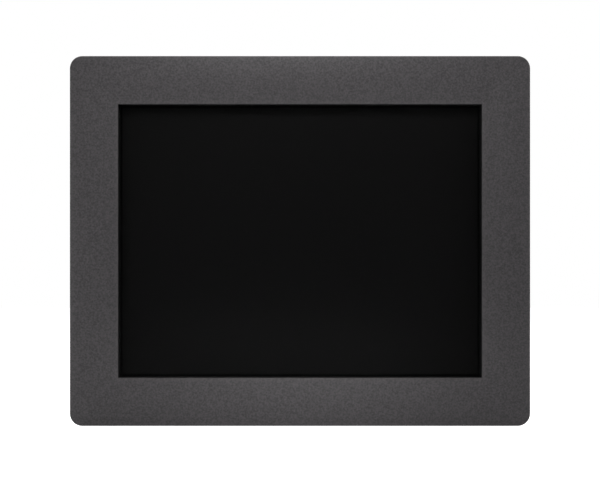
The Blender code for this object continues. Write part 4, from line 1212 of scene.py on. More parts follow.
@dataclass(frozen=True)
class DisplayFront:
    """The bezel, the touch glass, the display behind it and the seals between them."""

    bezel: Point = (392.0, 315.0)
    bezel_corner: float = 10.5
    bezel_front: float = -4.0
    bezel_edge: float = 0.5
    window: Point = (310.2, 233.2)
    window_edge: float = 0.35
    active_area: Point = (304.1, 228.1)
    film_thickness: float = 0.2
    stud: Point = (1.5, 7.0)
    stud_spots: tuple[Point, ...] = ((173.5, 70.0), (90.0, 135.0))

    def build(self, frame: Frame) -> None:
        """Makes the front."""
        self.build_bezel()
        self.build_seals()
        self.build_screen(frame)

    def build_bezel(self) -> None:
        """The flat plate with its window, its welded studs and their nuts."""
        front, edge = self.bezel_front, self.bezel_edge
        outline = rounded_rectangle(*self.bezel, self.bezel_corner, steps=10)
        window = rounded_rectangle(*self.window, 0.4, steps=2)
        solid = Piece("bezel_plate", plate([outline], rounded_levels(front, 0.0, edge, 0.3)))
        rim = self.window_edge
        mouth = [(front - 1.0, -rim), (front, -rim), (front + 0.3 * rim, -0.3 * rim)]
        mouth += [(front + rim, 0.0), (1.0, 0.0)]
        solid.cut(plate([window], mouth)).finish("root", BEZEL_COAT_WITH_HIGHLIGHT, "front_bezel")
        spots = [(i * x, j * z) for x, z in self.stud_spots for i in (-1, 1) for j in (-1, 1)]
        radius, tip = self.stud
        pitch = SMALL_SCREW.pitch
        root = radius - RIDGE * pitch
        profile = [(0.0, tip), (radius - 0.5, tip), (root, tip - 0.4), (root, 0.2), (radius, 0.0)]
        stud = Piece("stud", lathe([*profile, (radius, -0.4), (0.0, -0.4)], 24))
        stud.grow(thread_tree(), ZINC, {"Radius": radius, "Pitch": pitch, "Length": tip - 1.4, "Start": 0.8})
        studs = set_out("bezel_studs", stud, [(x, 0.0, z) for x, z in spots], Way.TO_REAR, ZINC)
        studs.finish("root", ZINC)
        hexagon = [circle(3.0, steps=6), circle(radius, steps=24)]
        nut = Piece("nut", plate(hexagon, rounded_levels(0.0, 2.4, 0.25), Matrix()))
        # The nuts at the sides hold the display's angles too, so they sit further back.
        seats = [(x, 3.7 if abs(x) > self.window[0] / 2 else 1.9, z) for x, z in spots]
        set_out("stud_nuts", nut, seats, Way.TO_REAR, ZINC).finish("root", ZINC)

    def build_seals(self) -> None:
        """The panel gasket and the window seal: sponge strips with softly rounded edges."""
        for name, node, corner, border in (
            ("gasket_ring", "panel_gasket", 7.0, 8.5),
            ("window_foam", "window_seal", 1.0, 4.0),
        ):
            low, high = span(node)
            width, height = high.x - low.x, high.z - low.z
            outer = rounded_rectangle(width, height, corner)
            inner = rounded_rectangle(width - 2 * border, height - 2 * border, 0.6)
            levels = rounded_levels(low.y, high.y, 0.3 * (high.y - low.y))
            Piece(name, plate([outer, inner], levels)).finish("root", SPONGE, node)

    def build_screen(self, frame: Frame) -> None:
        """The touch glass, the display's frame and cell, and the film that marks the lit area.

        Args:
            frame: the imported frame's nodes.
        """
        low, high = span("touch_glass")
        outline = rounded_rectangle(high.x - low.x, high.z - low.z, 1.5)
        glass = Piece("etched_touch_glass", plate([outline], rounded_levels(low.y, high.y, 0.3)))
        glass.finish("root", ETCHED_GLASS, "touch_glass")
        low, high = span("lcd_cell")
        film = rounded_rectangle(*self.active_area, 0.3, steps=2)
        levels = rounded_levels(low.y - self.film_thickness, low.y, 0.05, 0.0)
        Piece("polariser_film", plate([film], levels)).finish("root", POLARISER)
        frame.copy("lcd_frame", "display_frame").soften(0.25).finish("root", DIP_COAT, "lcd_frame")
        frame.dress(BLACK_MATRIX, "lcd_cell")
        frame.dress(WHITE_MOULDING, "lcd_backlight")
        for side in ("left", "right"):
            node = f"lcd_bracket_{side}"
            frame.copy(node, f"display_angle_{side}").soften(0.25).finish("root", ZINC, node)


@dataclass(frozen=True)
class DisplayHousing:
    """The pan behind the bezel: lipped in front, with hook slots, vents and the board's pillars."""

    size: Point = (360.0, 283.0)
    front: float = 0.3
    rear: float = 24.0
    corner: float = 3.0
    sheet: float = 1.5
    lip: float = 10.0
    bend: float = 2.2
    studs: DisplayFront = DisplayFront()
    hook_slot: Point = (10.8, 5.0)
    hook_slot_y: float = 19.0
    hooks_along: float = 130.0
    side_hooks_z: float = 24.0
    cable_ways: tuple[tuple[float, float, float, float], ...] = (
        (-85.0, 70.0, 50.0, 20.0),
        (80.0, 85.0, 40.0, 14.0),
    )
    pillars: tuple[Point, ...] = tuple((x, z) for x in (-21.65, 135.65) for z in (-88.65, 68.65))
    vent_z: float = 125.0

    def build(self) -> None:
        """Makes the pan."""
        width, height = self.size
        inner = (width - 2 * self.sheet, height - 2 * self.sheet)
        levels = rounded_levels(self.front, self.rear, 0.4, self.bend)
        pan = Piece("display_pan", plate([rounded_rectangle(*self.size, self.corner)], levels))
        cavity = rounded_levels(self.front + self.sheet, self.rear - self.sheet, 0.3, self.bend - self.sheet)
        pan.cut(plate([rounded_rectangle(*inner, self.corner - self.sheet + 0.3)], cavity))
        mouth = rounded_rectangle(inner[0] - 2 * self.lip, inner[1] - 2 * self.lip, 2.0)
        pan.cut(plate([mouth], [(-1.0, 0.0), (self.front + self.sheet + 1.0, 0.0)]))
        pan.cut(*self.slots(), *self.openings())
        pillar = [(0.0, 22.9), (3.0, 22.9), (3.0, 28.5), (2.8, 28.7), (0.0, 28.7)]
        pan.join(*(lathe(pillar, 24, Matrix.Translation((x, 0.0, z)) @ TO_REAR) for x, z in self.pillars))
        for z in (self.vent_z, -self.vent_z):
            row = VentRow((-98.0, self.rear - self.sheet / 2, z), (14.0, 0.0, 0.0), 15, 14.0, Way.SLOT_UP)
            row.punch(pan, HOUSING_COAT)
        pan.finish("root", HOUSING_COAT, "display_housing")

    def slots(self) -> list[Shape]:
        """The slots that the clamps hook into, round-cornered, through the walls.

        Returns:
            The shapes to cut away.
        """
        width, height = self.size
        along, deep = self.hook_slot
        shapes = []
        for sign in (-1, 1):
            side = rounded_rectangle(deep, along, 0.6, (self.hook_slot_y, self.side_hooks_z), 3)
            reach = sorted((sign * (width / 2 - 4.0), sign * (width / 2 + 1.0)))
            shapes.append(plate([side], [(end, 0.0) for end in reach], SIDEWAYS))
            reach = sorted((sign * (height / 2 - 4.0), sign * (height / 2 + 1.0)))
            for x in (-self.hooks_along, self.hooks_along):
                end = rounded_rectangle(along, deep, 0.6, (x, self.hook_slot_y), 3)
                shapes.append(plate([end], [(z, 0.0) for z in reach], Matrix()))
        return shapes

    def openings(self) -> list[Shape]:
        """The stud holes in the lip, and the cable ways through the rear wall.

        Returns:
            The shapes to cut away.
        """
        shapes = []
        for x, z in self.studs.stud_spots:
            shapes += [hole((i * x, 1.0, j * z), 1.9, TO_REAR, 2.5, 16) for i in (-1, 1) for j in (-1, 1)]
        for x, z, width, height in self.cable_ways:
            way = rounded_rectangle(width, height, 3.0, (x, z))
            shapes.append(plate([way], [(self.rear - 3.0, 0.0), (self.rear + 1.0, 0.0)]))
        return shapes


@dataclass(frozen=True)
class Clamps:
    """Six panel clamps, drawn on the pan's outer wall: X along the wall, Y to the rear, Z outwards."""

    axis: float = 8.0
    screw: Screw = Screw(2.0, 0.7, 27.2, 4.0, 3.2)
    seat: float = 41.0
    pad_front: float = 12.0
    bore: float = 2.35
    edge: float = 0.5
    places: tuple[tuple[str, float, float, float], ...] = (
        ("top_left", -130.0, 141.5, 0.0),
        ("top_right", 130.0, 141.5, 0.0),
        ("bottom_left", -130.0, -141.5, 180.0),
        ("bottom_right", 130.0, -141.5, 180.0),
        ("left", -180.0, 24.0, -90.0),
        ("right", 180.0, 24.0, 90.0),
    )

    def build(self) -> None:
        """Makes one clamp, and copies it to the six places."""
        bracket, pad, screw = self.bracket(), self.pad(), self.threaded()
        for name, x, z, turn in self.places:
            place = Matrix.Translation((x, 0.0, z)) @ Matrix.Rotation(math.radians(turn), 4, "Y")
            bracket.copied(f"bracket_{name}", place).finish("root", ZINC, f"clamp_bracket_{name}")
            pad.copied(f"pad_{name}", place).finish(f"clamp_pad_{name}", NYLON, f"clamp_pad_{name}")
            screw.copied(f"screw_{name}", place).finish(f"clamp_screw_{name}", ZINC, f"clamp_screw_{name}")
        for pattern in (bracket, pad, screw):
            pattern.discard()

    def bracket(self) -> Piece:
        """The bracket: foot on the wall, hook through its slot, and the boss that the screw runs in.

        Returns:
            The bracket.
        """
        bracket = Piece("bracket", block((-9.0, 11.0, 0.3), (9.0, 25.0, 2.8), self.edge))
        boss = block((-6.5, 20.0, 1.2), (6.5, 30.0, 13.0), 1.6, 3)
        bent = [(14.5, -3.1), (19.0, -3.1), (19.0, 1.0), (16.8, 1.0), (16.8, -1.8), (14.5, -1.8)]
        hook = plate([rounded_polygon(bent, 0.4)], rounded_levels(-5.0, 5.0, 0.3), SIDEWAYS)
        bracket.join(boss, hook)
        bracket.cut(hole((0.0, 25.0, self.axis), self.bore, TO_REAR, 8.0, 32))
        # The rib down the foot's middle, between the boss and the front edge.
        return bracket.join(block((-1.5, 12.0, 1.5), (1.5, 22.0, 4.4), 0.8, 3))

    def pad(self) -> Piece:
        """The moulded cap on the screw's tip.

        Returns:
            The cap.
        """
        profile = [(0.0, 0.0), (3.1, 0.0), (3.6, 0.12), (3.9, 0.4), (4.0, 0.8), (4.0, 1.6), (3.7, 1.9)]
        profile += [(3.7, 2.5), (4.0, 2.8), (4.0, 4.8), (3.85, 5.0), (2.5, 5.0), (self.bore, 4.8)]
        profile += [(self.bore, 1.5), (0.0, 1.5)]
        place = Matrix.Translation((0.0, self.pad_front, self.axis)) @ TO_REAR
        return Piece("pad", lathe(profile, 40, place))

    def threaded(self) -> Piece:
        """The clamping screw, its head to the rear.

        Returns:
            The screw.
        """
        standing = self.screw.make("standing_screw")
        screw = standing.copied("screw", Matrix.Translation((0.0, self.seat, self.axis)) @ TO_REAR)
        standing.discard()
        return screw


@dataclass(frozen=True)
class ComputerHousing:
    """The box behind the pan: a flange in front, a lip for the cover at the rear, and its openings."""

    size: Point = (300.0, 200.0)
    front: float = 24.3
    rear: float = 52.0
    corner: float = 3.0
    sheet: float = 1.5
    lip: float = 9.0
    flange: float = 12.0
    gap: float = 0.3
    screw_hole: float = 1.9
    tray_slot: tuple[float, float, float, float] = (32.5, -45.0, 11.0, 81.4)
    rocker_slot: tuple[float, float, float, float] = (38.0, 62.0, 13.3, 19.6)
    serial_shell: Point = (18.4, 10.4)
    jack_out: float = 12.5
    jack_hole: float = 2.0
    button_hole: float = 2.8
    earth_spot: Point = (38.0, -80.0)
    earth_hole: float = 2.35
    vents: tuple[VentRow, ...] = (
        VentRow((-105.0, 38.0, 99.25), (7.0, 0.0, 0.0), 31, 16.0, Way.SLOT_IN_TOP),
        VentRow((-30.0, 44.5, -99.25), (-7.0, 0.0, 0.0), 12, 7.0, Way.SLOT_IN_TOP),
        VentRow((149.25, 38.0, 14.0), (0.0, 0.0, 7.0), 10, 16.0, Way.SLOT_IN_SIDE),
    )

    def build(self) -> None:
        """Makes the box and its flange screws."""
        width, height = self.size
        levels = rounded_levels(self.front + 0.6, self.rear, 0.2, 2.2)
        shell = plate([rounded_rectangle(*self.size, self.corner)], levels)
        brim = rounded_rectangle(width + 2 * self.flange, height + 2 * self.flange, self.corner)
        levels = rounded_levels(self.front, self.front + self.sheet, 0.25)
        housing = Piece("computer_case", plate([brim], levels))
        housing.join(shell)
        inner = (width - 2 * self.sheet, height - 2 * self.sheet)
        ceiling = self.rear - self.sheet
        cavity = [(self.front - 1.0, 0.0), *rounded_levels(ceiling - 1.2, ceiling, 0, 0.7)]
        housing.cut(plate([rounded_rectangle(*inner, self.corner - self.sheet)], cavity))
        mouth = rounded_rectangle(inner[0] - 2 * self.lip, inner[1] - 2 * self.lip, 2.0)
        housing.cut(plate([mouth], [(ceiling - 0.6, 0.0), (self.rear + 1.0, 0.0)]))
        housing.cut(*self.wall_openings(), *self.drillings())
        for row in self.vents:
            row.punch(housing, HOUSING_COAT)
        housing.finish("root", HOUSING_COAT, "computer_housing")
        seat = self.front + self.sheet + 0.05
        places = [(x, seat, z) for x, z in self.flange_spots()]
        screws = set_out("flange_screws", SMALL_SCREW.make("flange_screw"), places, Way.TO_REAR, ZINC)
        screws.finish("root", ZINC)

    def flange_spots(self) -> list[Point]:
        """Where the flange is screwed to the pan, clear of the drive tray's way out."""
        x, z = (side / 2 + self.flange / 2 for side in self.size)
        spots = [(i * x, j * z) for i in (-1, 1) for j in (-0.96, 0.6)]
        return spots + [(i * 0.75 * x, j * z) for i in (-1, 1) for j in (-1, 1)]

    def cover_spots(self) -> list[Point]:
        """Where the cover is screwed to the lip."""
        x, z = (side / 2 - self.sheet - self.lip / 2 for side in self.size)
        return [(i * x, j * z) for i in (-1, 1) for j in (-1, 1)]

    def drillings(self) -> list[Shape]:
        """The screw holes in the lip and the flange."""
        spots = [(x, self.rear, z) for x, z in self.cover_spots()]
        spots += [(x, self.front, z) for x, z in self.flange_spots()]
        return [hole(spot, self.screw_hole, TO_REAR, 3.0, 16) for spot in spots]

    def wall_openings(self) -> list[Shape]:
        """The openings for the connectors, the drive tray, the switch, the button and the earthing screw.

        Returns:
            The shapes to cut away.
        """
        bottom, side = -self.size[1] / 2, self.size[0] / 2
        through_bottom = [(bottom - 1.0, 0.0), (bottom + 4.0, 0.0)]
        shapes = []
        for node in ("power_inlet", "video_port", "lan_port_1", "lan_port_2", "usb_ports_bottom"):
            low, high = span(node)
            middle = ((low.x + high.x) / 2, (low.y + high.y) / 2)
            size = (high.x - low.x + 2 * self.gap, high.y - low.y + 2 * self.gap)
            shapes.append(plate([rounded_rectangle(*size, 0.4, middle, 2)], through_bottom, Matrix()))
        low, high = span("serial_port")
        serial = ((low.x + high.x) / 2, (low.y + high.y) / 2)
        shapes.append(plate([rounded_rectangle(*self.serial_shell, 2.4, serial)], through_bottom, Matrix()))
        for x in (serial[0] - self.jack_out, serial[0] + self.jack_out):
            shapes.append(hole((x, serial[1], bottom), self.jack_hole, Matrix()))
        low, high = span("usb_ports_side")
        middle = ((low.y + high.y) / 2, (low.z + high.z) / 2)
        size = (high.y - low.y + 2 * self.gap, high.z - low.z + 2 * self.gap)
        through_right = [(side - 4.0, 0.0), (side + 1.0, 0.0)]
        shapes.append(plate([rounded_rectangle(*size, 0.4, middle, 2)], through_right, SIDEWAYS))
        shapes.append(hole((side, *self.earth_spot), self.earth_hole, TO_RIGHT))
        left = [(-side - 1.0, 0.0), (-side + 4.0, 0.0)]
        for y, z, deep, tall in (self.tray_slot, self.rocker_slot):
            shapes.append(plate([rounded_rectangle(deep, tall, 0.6, (y, z), 2)], left, SIDEWAYS))
        for node in ("tray_thumbscrew_upper", "tray_thumbscrew_lower", "reset_button"):
            low, high = span(node)
            radius = self.button_hole if node == "reset_button" else self.screw_hole
            shapes.append(hole((-side, (low.y + high.y) / 2, (low.z + high.z) / 2), radius, TO_LEFT))
        return shapes


@dataclass(frozen=True)
class RearCover:
    """The flat rear cover with its side vents, its opening for the heat spreader and its screws."""

    housing: ComputerHousing = ComputerHousing()
    front: float = 52.3
    rear: float = 53.8
    opening: Point = (54.0, 54.0)
    opening_centre: Point = (45.0, 5.0)
    vent_x: float = 119.0

    def build(self) -> None:
        """Makes the cover."""
        outline = rounded_rectangle(*self.housing.size, self.housing.corner)
        opening = rounded_rectangle(*self.opening, 1.0, self.opening_centre, 3)
        holes = [circle(self.housing.screw_hole, spot, 20) for spot in self.housing.cover_spots()]
        levels = rounded_levels(self.front, self.rear, 0.2, 0.35)
        cover = Piece("vented_cover", plate([outline, opening, *holes], levels))
        for side in (-1, 1):
            start = (side * self.vent_x, (self.front + self.rear) / 2, -63.0)
            VentRow(start, (0.0, 0.0, 7.0), 19, 30.0, Way.AS_MADE).punch(cover, HOUSING_COAT)
        cover.finish("root", HOUSING_COAT, "rear_cover")
        nodes = [f"cover_screw_{v}_{h}" for v in ("upper", "lower") for h in ("left", "right")]
        places = [(x, span(nodes[0])[0].y + SMALL_SCREW.length, z) for x, z in self.housing.cover_spots()]
        screws = set_out("cover_screws", SMALL_SCREW.make("cover_screw"), places, Way.TO_REAR, ZINC)
        screws.finish("root", ZINC, *nodes)


@dataclass(frozen=True)
class HeatSink:
    """The extruded heat sink with its four threaded mounting bosses."""

    size: Point = (196.0, 160.0)
    front: float = 54.1
    base: float = 4.0
    fins: int = 23
    pitch: float = 8.0
    fin_thickness: float = 1.8
    fin_height: float = 11.0
    boss: float = 16.0
    boss_spot: float = 50.0
    boss_rise: float = 1.0
    thread_radius: float = 2.0
    thread_depth: float = 10.0
    screw_spot: Point = (93.5, 70.0)

    def build(self) -> None:
        """Makes the heat sink and its screws."""
        deck = self.front + self.base
        outline = rounded_rectangle(*self.size, 0.8, steps=3)
        sink = Piece("finned_heat_sink", plate([outline], rounded_levels(self.front, deck, 0.3, 0.3)))
        sink.cut(*(hole((x, deck, z), 1.7, TO_REAR, 6.0, 16) for x, z in self.screw_spots()))
        values = {"Count": self.fins, "Pitch": self.pitch, "Thickness": self.fin_thickness}
        values |= {"Foot": deck - 1.0, "Height": self.fin_height + 1.0, "Length": self.size[1]}
        sink.grow(fin_tree(), ANODISED, values).finish("root", ANODISED, "heat_sink")
        self.build_bosses(deck)
        places = [(x, deck, z) for x, z in self.screw_spots()]
        screws = set_out("heat_sink_screws", SMALL_SCREW.make("heat_sink_screw"), places, Way.TO_REAR, ZINC)
        screws.finish("root", ZINC)

    def screw_spots(self) -> list[Point]:
        """Where the heat sink is screwed down, outside its fins."""
        x, z = self.screw_spot
        return [(i * x, j * z) for i in (-1, 1) for j in (-1, 1)]

    def build_bosses(self, deck: float) -> None:
        """The four bosses, chamfered and threaded.

        Args:
            deck: the base's rear face.
        """
        top = deck + self.fin_height + self.boss_rise
        square = rounded_rectangle(self.boss, self.boss, 0.8, steps=3)
        boss = Piece("boss", plate([square], rounded_levels(-self.fin_height - 2.0, 0.0, 0.2, 0.5), Matrix()))
        radius, depth = self.thread_radius, self.thread_depth
        mouth = [(0.0, 1.0), (radius + 0.5, 1.0), (radius + 0.5, 0.0), (radius, -0.5)]
        mouth += [(radius, -depth), (0.0, -depth)]
        boss.cut(lathe(mouth, 32))
        winding = {"Radius": radius + 0.36, "Pitch": 0.7, "Length": depth - 2.0, "Start": 1.0 - depth}
        boss.grow(thread_tree(), ANODISED, winding)
        spots = [(i * self.boss_spot, top, j * self.boss_spot) for i in (-1, 1) for j in (-1, 1)]
        set_out("threaded_bosses", boss, spots, Way.TO_REAR, ANODISED).finish("root", ANODISED)


@dataclass(frozen=True)
class DriveBay:
    """The tray that slides out of the left wall, the drive on it, and its thumbscrews."""

    face_size: Point = (14.0, 102.0)
    face_x: tuple[float, float] = (-152.3, -150.3)
    centre: Point = (33.2, -45.0)
    floor_y: tuple[float, float] = (27.5, 28.7)
    wall_top: float = 37.5
    wall_z: tuple[float, float] = (-85.0, -5.0)
    inner_end: float = -46.0
    thumbscrew_z: tuple[float, float] = (1.0, -91.0)
    thumbscrew_seat: float = -152.6
    knob: Point = (4.5, 7.6)
    shank: Point = (1.5, 6.2)
    teeth: int = 24

    def build(self, frame: Frame) -> None:
        """Makes the bay.

        Args:
            frame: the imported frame's nodes.
        """
        self.build_tray()
        self.build_drive()
        frame.dress(ZINC, "drive_cage")
        pattern = self.thumbscrew()
        for name, z in zip(("upper", "lower"), self.thumbscrew_z):
            place = Matrix.Translation((self.thumbscrew_seat, self.centre[0], z)) @ TO_LEFT
            node = f"tray_thumbscrew_{name}"
            pattern.copied(f"knurled_thumbscrew_{name}", place).finish(node, ZINC, node)
        pattern.discard()

    def build_tray(self) -> None:
        """The face plate, and the channel behind it that the drive lies in."""
        outline = rounded_rectangle(*self.face_size, 2.0, self.centre)
        holes = [circle(1.9, (self.centre[0], z), 24) for z in self.thumbscrew_z]
        tray = Piece("tray", plate([outline, *holes], rounded_levels(*self.face_x, 0.5, 0.2), SIDEWAYS))
        front, floor = self.floor_y
        low, high = self.wall_z
        sheet = floor - front
        channel = [(front, low), (self.wall_top, low), (self.wall_top, low + sheet), (floor, low + sheet)]
        channel += [(floor, high - sheet), (self.wall_top, high - sheet)]
        channel += [(self.wall_top, high), (front, high)]
        ends = [(self.face_x[0] + 1.3, 0.0), (self.inner_end - 0.2, 0.0), (self.inner_end, 0.2)]
        tray.join(plate([channel], ends, SIDEWAYS))
        tray.finish("drive_tray", HOUSING_COAT, "storage_tray")

    def build_drive(self) -> None:
        """The drive: a two-part can with a seam, and its plug at the inner end."""
        low, high = span("solid_state_drive")
        middle = ((low.x + high.x) / 2, (low.z + high.z) / 2)
        size = (high.x - low.x, high.z - low.z)
        seam = high.y - 1.6
        can = rounded_rectangle(*size, 2.4, middle)
        levels = rounded_levels(low.y, seam - 0.25, 0.5, 0.15)
        levels += [(depth, inset + 0.02) for depth, inset in rounded_levels(seam, high.y, 0.15, 0.6)]
        drive = Piece("drive_can", plate([can], levels))
        edge = high.x
        across = middle[1]
        drive.cut(block((edge - 4.0, low.y + 1.2, across - 22.0), (edge + 1.0, low.y + 5.0, across + 22.0)))
        drive.finish("drive_tray", ANODISED, "solid_state_drive")
        plug = block((edge - 4.6, low.y + 2.2, across - 20.0), (edge - 0.6, low.y + 3.6, across + 20.0), 0.3)
        Piece("drive_plug", plug).finish("drive_tray", NYLON)

    def thumbscrew(self) -> Piece:
        """The knurled captive screw, standing on its seat.

        Returns:
            The screw.
        """
        radius, height = self.knob
        core, length = self.shank
        column = math.tau * radius / self.teeth / 4
        rings = [(radius, height - 0.7 - column * i) for i in range(19)]
        foot = rings[-1][1]
        profile = [(0.0, height), (3.5, height), (4.1, height - 0.15), (4.4, height - 0.45), *rings]
        profile += [(4.3, foot - 0.3), (3.3, foot - 0.6), (3.3, 0.15), (3.15, 0.0), (0.96 * core, 0.0)]
        pitch = SMALL_SCREW.pitch
        root = core - RIDGE * pitch
        profile += [(root, -0.4), (root, 0.3 - length), (root - 0.3, -length), (0.0, -length)]
        knob = Piece("thumbscrew", lathe(profile, 4 * self.teeth))
        pressed = {"Radius": radius, "Low": foot + 0.1, "High": rings[0][1] - 0.1, "Teeth": float(self.teeth)}
        knob.grow(knurl_tree(), ZINC, {**pressed, "Depth": 0.32})
        for bar in cross_bars(height, 5.0, 1.6):
            knob.cut(bar)
        winding = {"Radius": core, "Pitch": pitch, "Length": length - 1.6, "Start": 0.5 - length}
        return knob.grow(thread_tree(), ZINC, winding)


@dataclass(frozen=True)
class Switches:
    """The rocker switch, the reset button and the earthing screw."""

    y: float = 38.0
    rocker_z: float = 62.0
    rocker_pivot: float = -150.5
    rocker_half: float = 7.2
    rocker_width: float = 10.2
    rocker_tilt: float = 12.0
    flange: Point = (15.5, 22.0)
    flange_x: tuple[float, float] = (-152.0, -150.3)
    body: Point = (12.7, 19.0)
    body_end: float = -134.0
    cavity: Point = (10.8, 16.2)
    valley: float = 2.2
    mark_out: float = 4.2
    earth_screw: Screw = Screw(2.0, 0.7, 8.0, 4.0, 2.6)
    earth_seat: Triple = (150.3, 38.0, -80.0)

    def build(self) -> None:
        """Makes the three."""
        self.build_housing()
        self.build_rocker()
        self.build_button()
        screw = self.earth_screw.make("standing_earth_screw")
        place = Matrix.Translation(self.earth_seat) @ TO_RIGHT
        screw.copied("earth_screw", place).finish("root", ZINC, "ground_screw")
        screw.discard()

    def build_housing(self) -> None:
        """The moulded bezel and body of the rocker switch, with its two blades."""
        centre = (self.y, self.rocker_z)
        rim = rounded_rectangle(*self.flange, 1.4, centre)
        body = rounded_rectangle(*self.body, 0.5, centre, 2)
        start = self.flange_x[1] - 0.7
        housing = Piece("switch_housing", plate([rim], rounded_levels(*self.flange_x, 0.7, 0.1), SIDEWAYS))
        housing.join(plate([body], rounded_levels(start, self.body_end, 0.1, 0.4), SIDEWAYS))
        for z in (-5.0, 5.0):
            blade = rounded_rectangle(4.8, 0.8, 0.15, (self.y, self.rocker_z + z), 1)
            housing.join(plate([blade], [(self.body_end - 1.0, 0.0), (-128.5, 0.0), (-128.0, 0.2)], SIDEWAYS))
        mouth = rounded_rectangle(*self.cavity, 0.6, centre, 3)
        low = self.flange_x[0]
        sloped = [(low - 1.0, -0.3), (low, -0.3), (low + 0.3, 0.0), (self.rocker_pivot + 5.0, 0.0)]
        housing.cut(plate([mouth], sloped, SIDEWAYS))
        housing.cut(hole((self.rocker_pivot, self.y, self.rocker_z), 1.1, TO_REAR, 8.0))
        housing.finish("root", NYLON, "rocker_housing")

    def rocker_frame(self) -> Matrix:
        """Drawing to frame: u down along the rocker, v out of the wall, w to the rear."""
        turn = Matrix(((0, -1, 0, 0), (0, 0, 1, 0), (-1, 0, 0, 0), (0, 0, 0, 1)))
        tilt = Matrix.Rotation(math.radians(-self.rocker_tilt), 4, "Y")
        return Matrix.Translation((self.rocker_pivot, self.y, self.rocker_z)) @ tilt @ turn

    def build_rocker(self) -> None:
        """The rocker's two faces round a soft valley, and its raised line and ring."""
        place = self.rocker_frame()
        half, soft = self.rocker_half, 1.2
        slope = math.tan(math.radians(self.rocker_tilt))
        across = [half * (1 - i / 10) for i in range(21)]
        top = [(u, self.valley + slope * (math.hypot(u, soft) - soft)) for u in across]
        outline = rounded_polygon([(half, -1.0), top[0], top[-1], (-half, -1.0)], 0.45)
        arcs = len(outline) // 4
        outline = outline[: 2 * arcs] + top[2:-2] + outline[2 * arcs :]
        reach = self.rocker_width / 2
        rocker = Piece("switch_rocker", plate([outline], rounded_levels(-reach, reach, 0.3), place))
        pin = [(0.0, -6.15), (0.7, -6.15), (0.8, -6.05), (0.8, 6.05), (0.7, 6.15), (0.0, 6.15)]
        rocker.join(lathe(pin, 20, place))
        rocker.finish("power_rocker", POLYCARBONATE, "power_rocker")
        marks = []
        rise = self.valley + slope * (math.hypot(self.mark_out, soft) - soft)
        stand = Matrix(((1, 0, 0, 0), (0, 0, 1, 0), (0, -1, 0, 0), (0, 0, 0, 1)))
        for side, loops in ((-1, [rounded_rectangle(0.7, 3.4, 0.2)]), (1, [circle(1.7), circle(1.05)])):
            lean = Matrix.Rotation(side * math.radians(self.rocker_tilt), 4, "Z")
            mark = place @ Matrix.Translation((side * self.mark_out, rise, 0.0)) @ lean @ stand
            marks.append(plate(loops, [(-0.3, 0.0), (0.06, 0.0), (0.1, 0.06)], mark))
        Piece("rocker_marks", gathered(marks)).finish("power_rocker", MARKING)

    def build_button(self) -> None:
        """The reset button with a dished top and a collar behind the wall."""
        profile = [(0.0, 1.2), (0.9, 1.23), (1.6, 1.33), (2.0, 1.47), (2.2, 1.5), (2.42, 1.35), (2.5, 1.1)]
        profile += [(2.5, -1.8), (3.7, -1.8), (3.8, -1.9), (3.8, -2.7), (3.7, -2.8), (1.5, -2.8)]
        profile += [(1.5, -5.3), (1.4, -5.4), (0.0, -5.4)]
        low, high = span("reset_button")
        place = Matrix.Translation((-150.0, self.y, (low.z + high.z) / 2)) @ TO_LEFT
        Piece("reset_cap", lathe(profile, 48, place)).finish("reset_button", POLYCARBONATE, "reset_button")


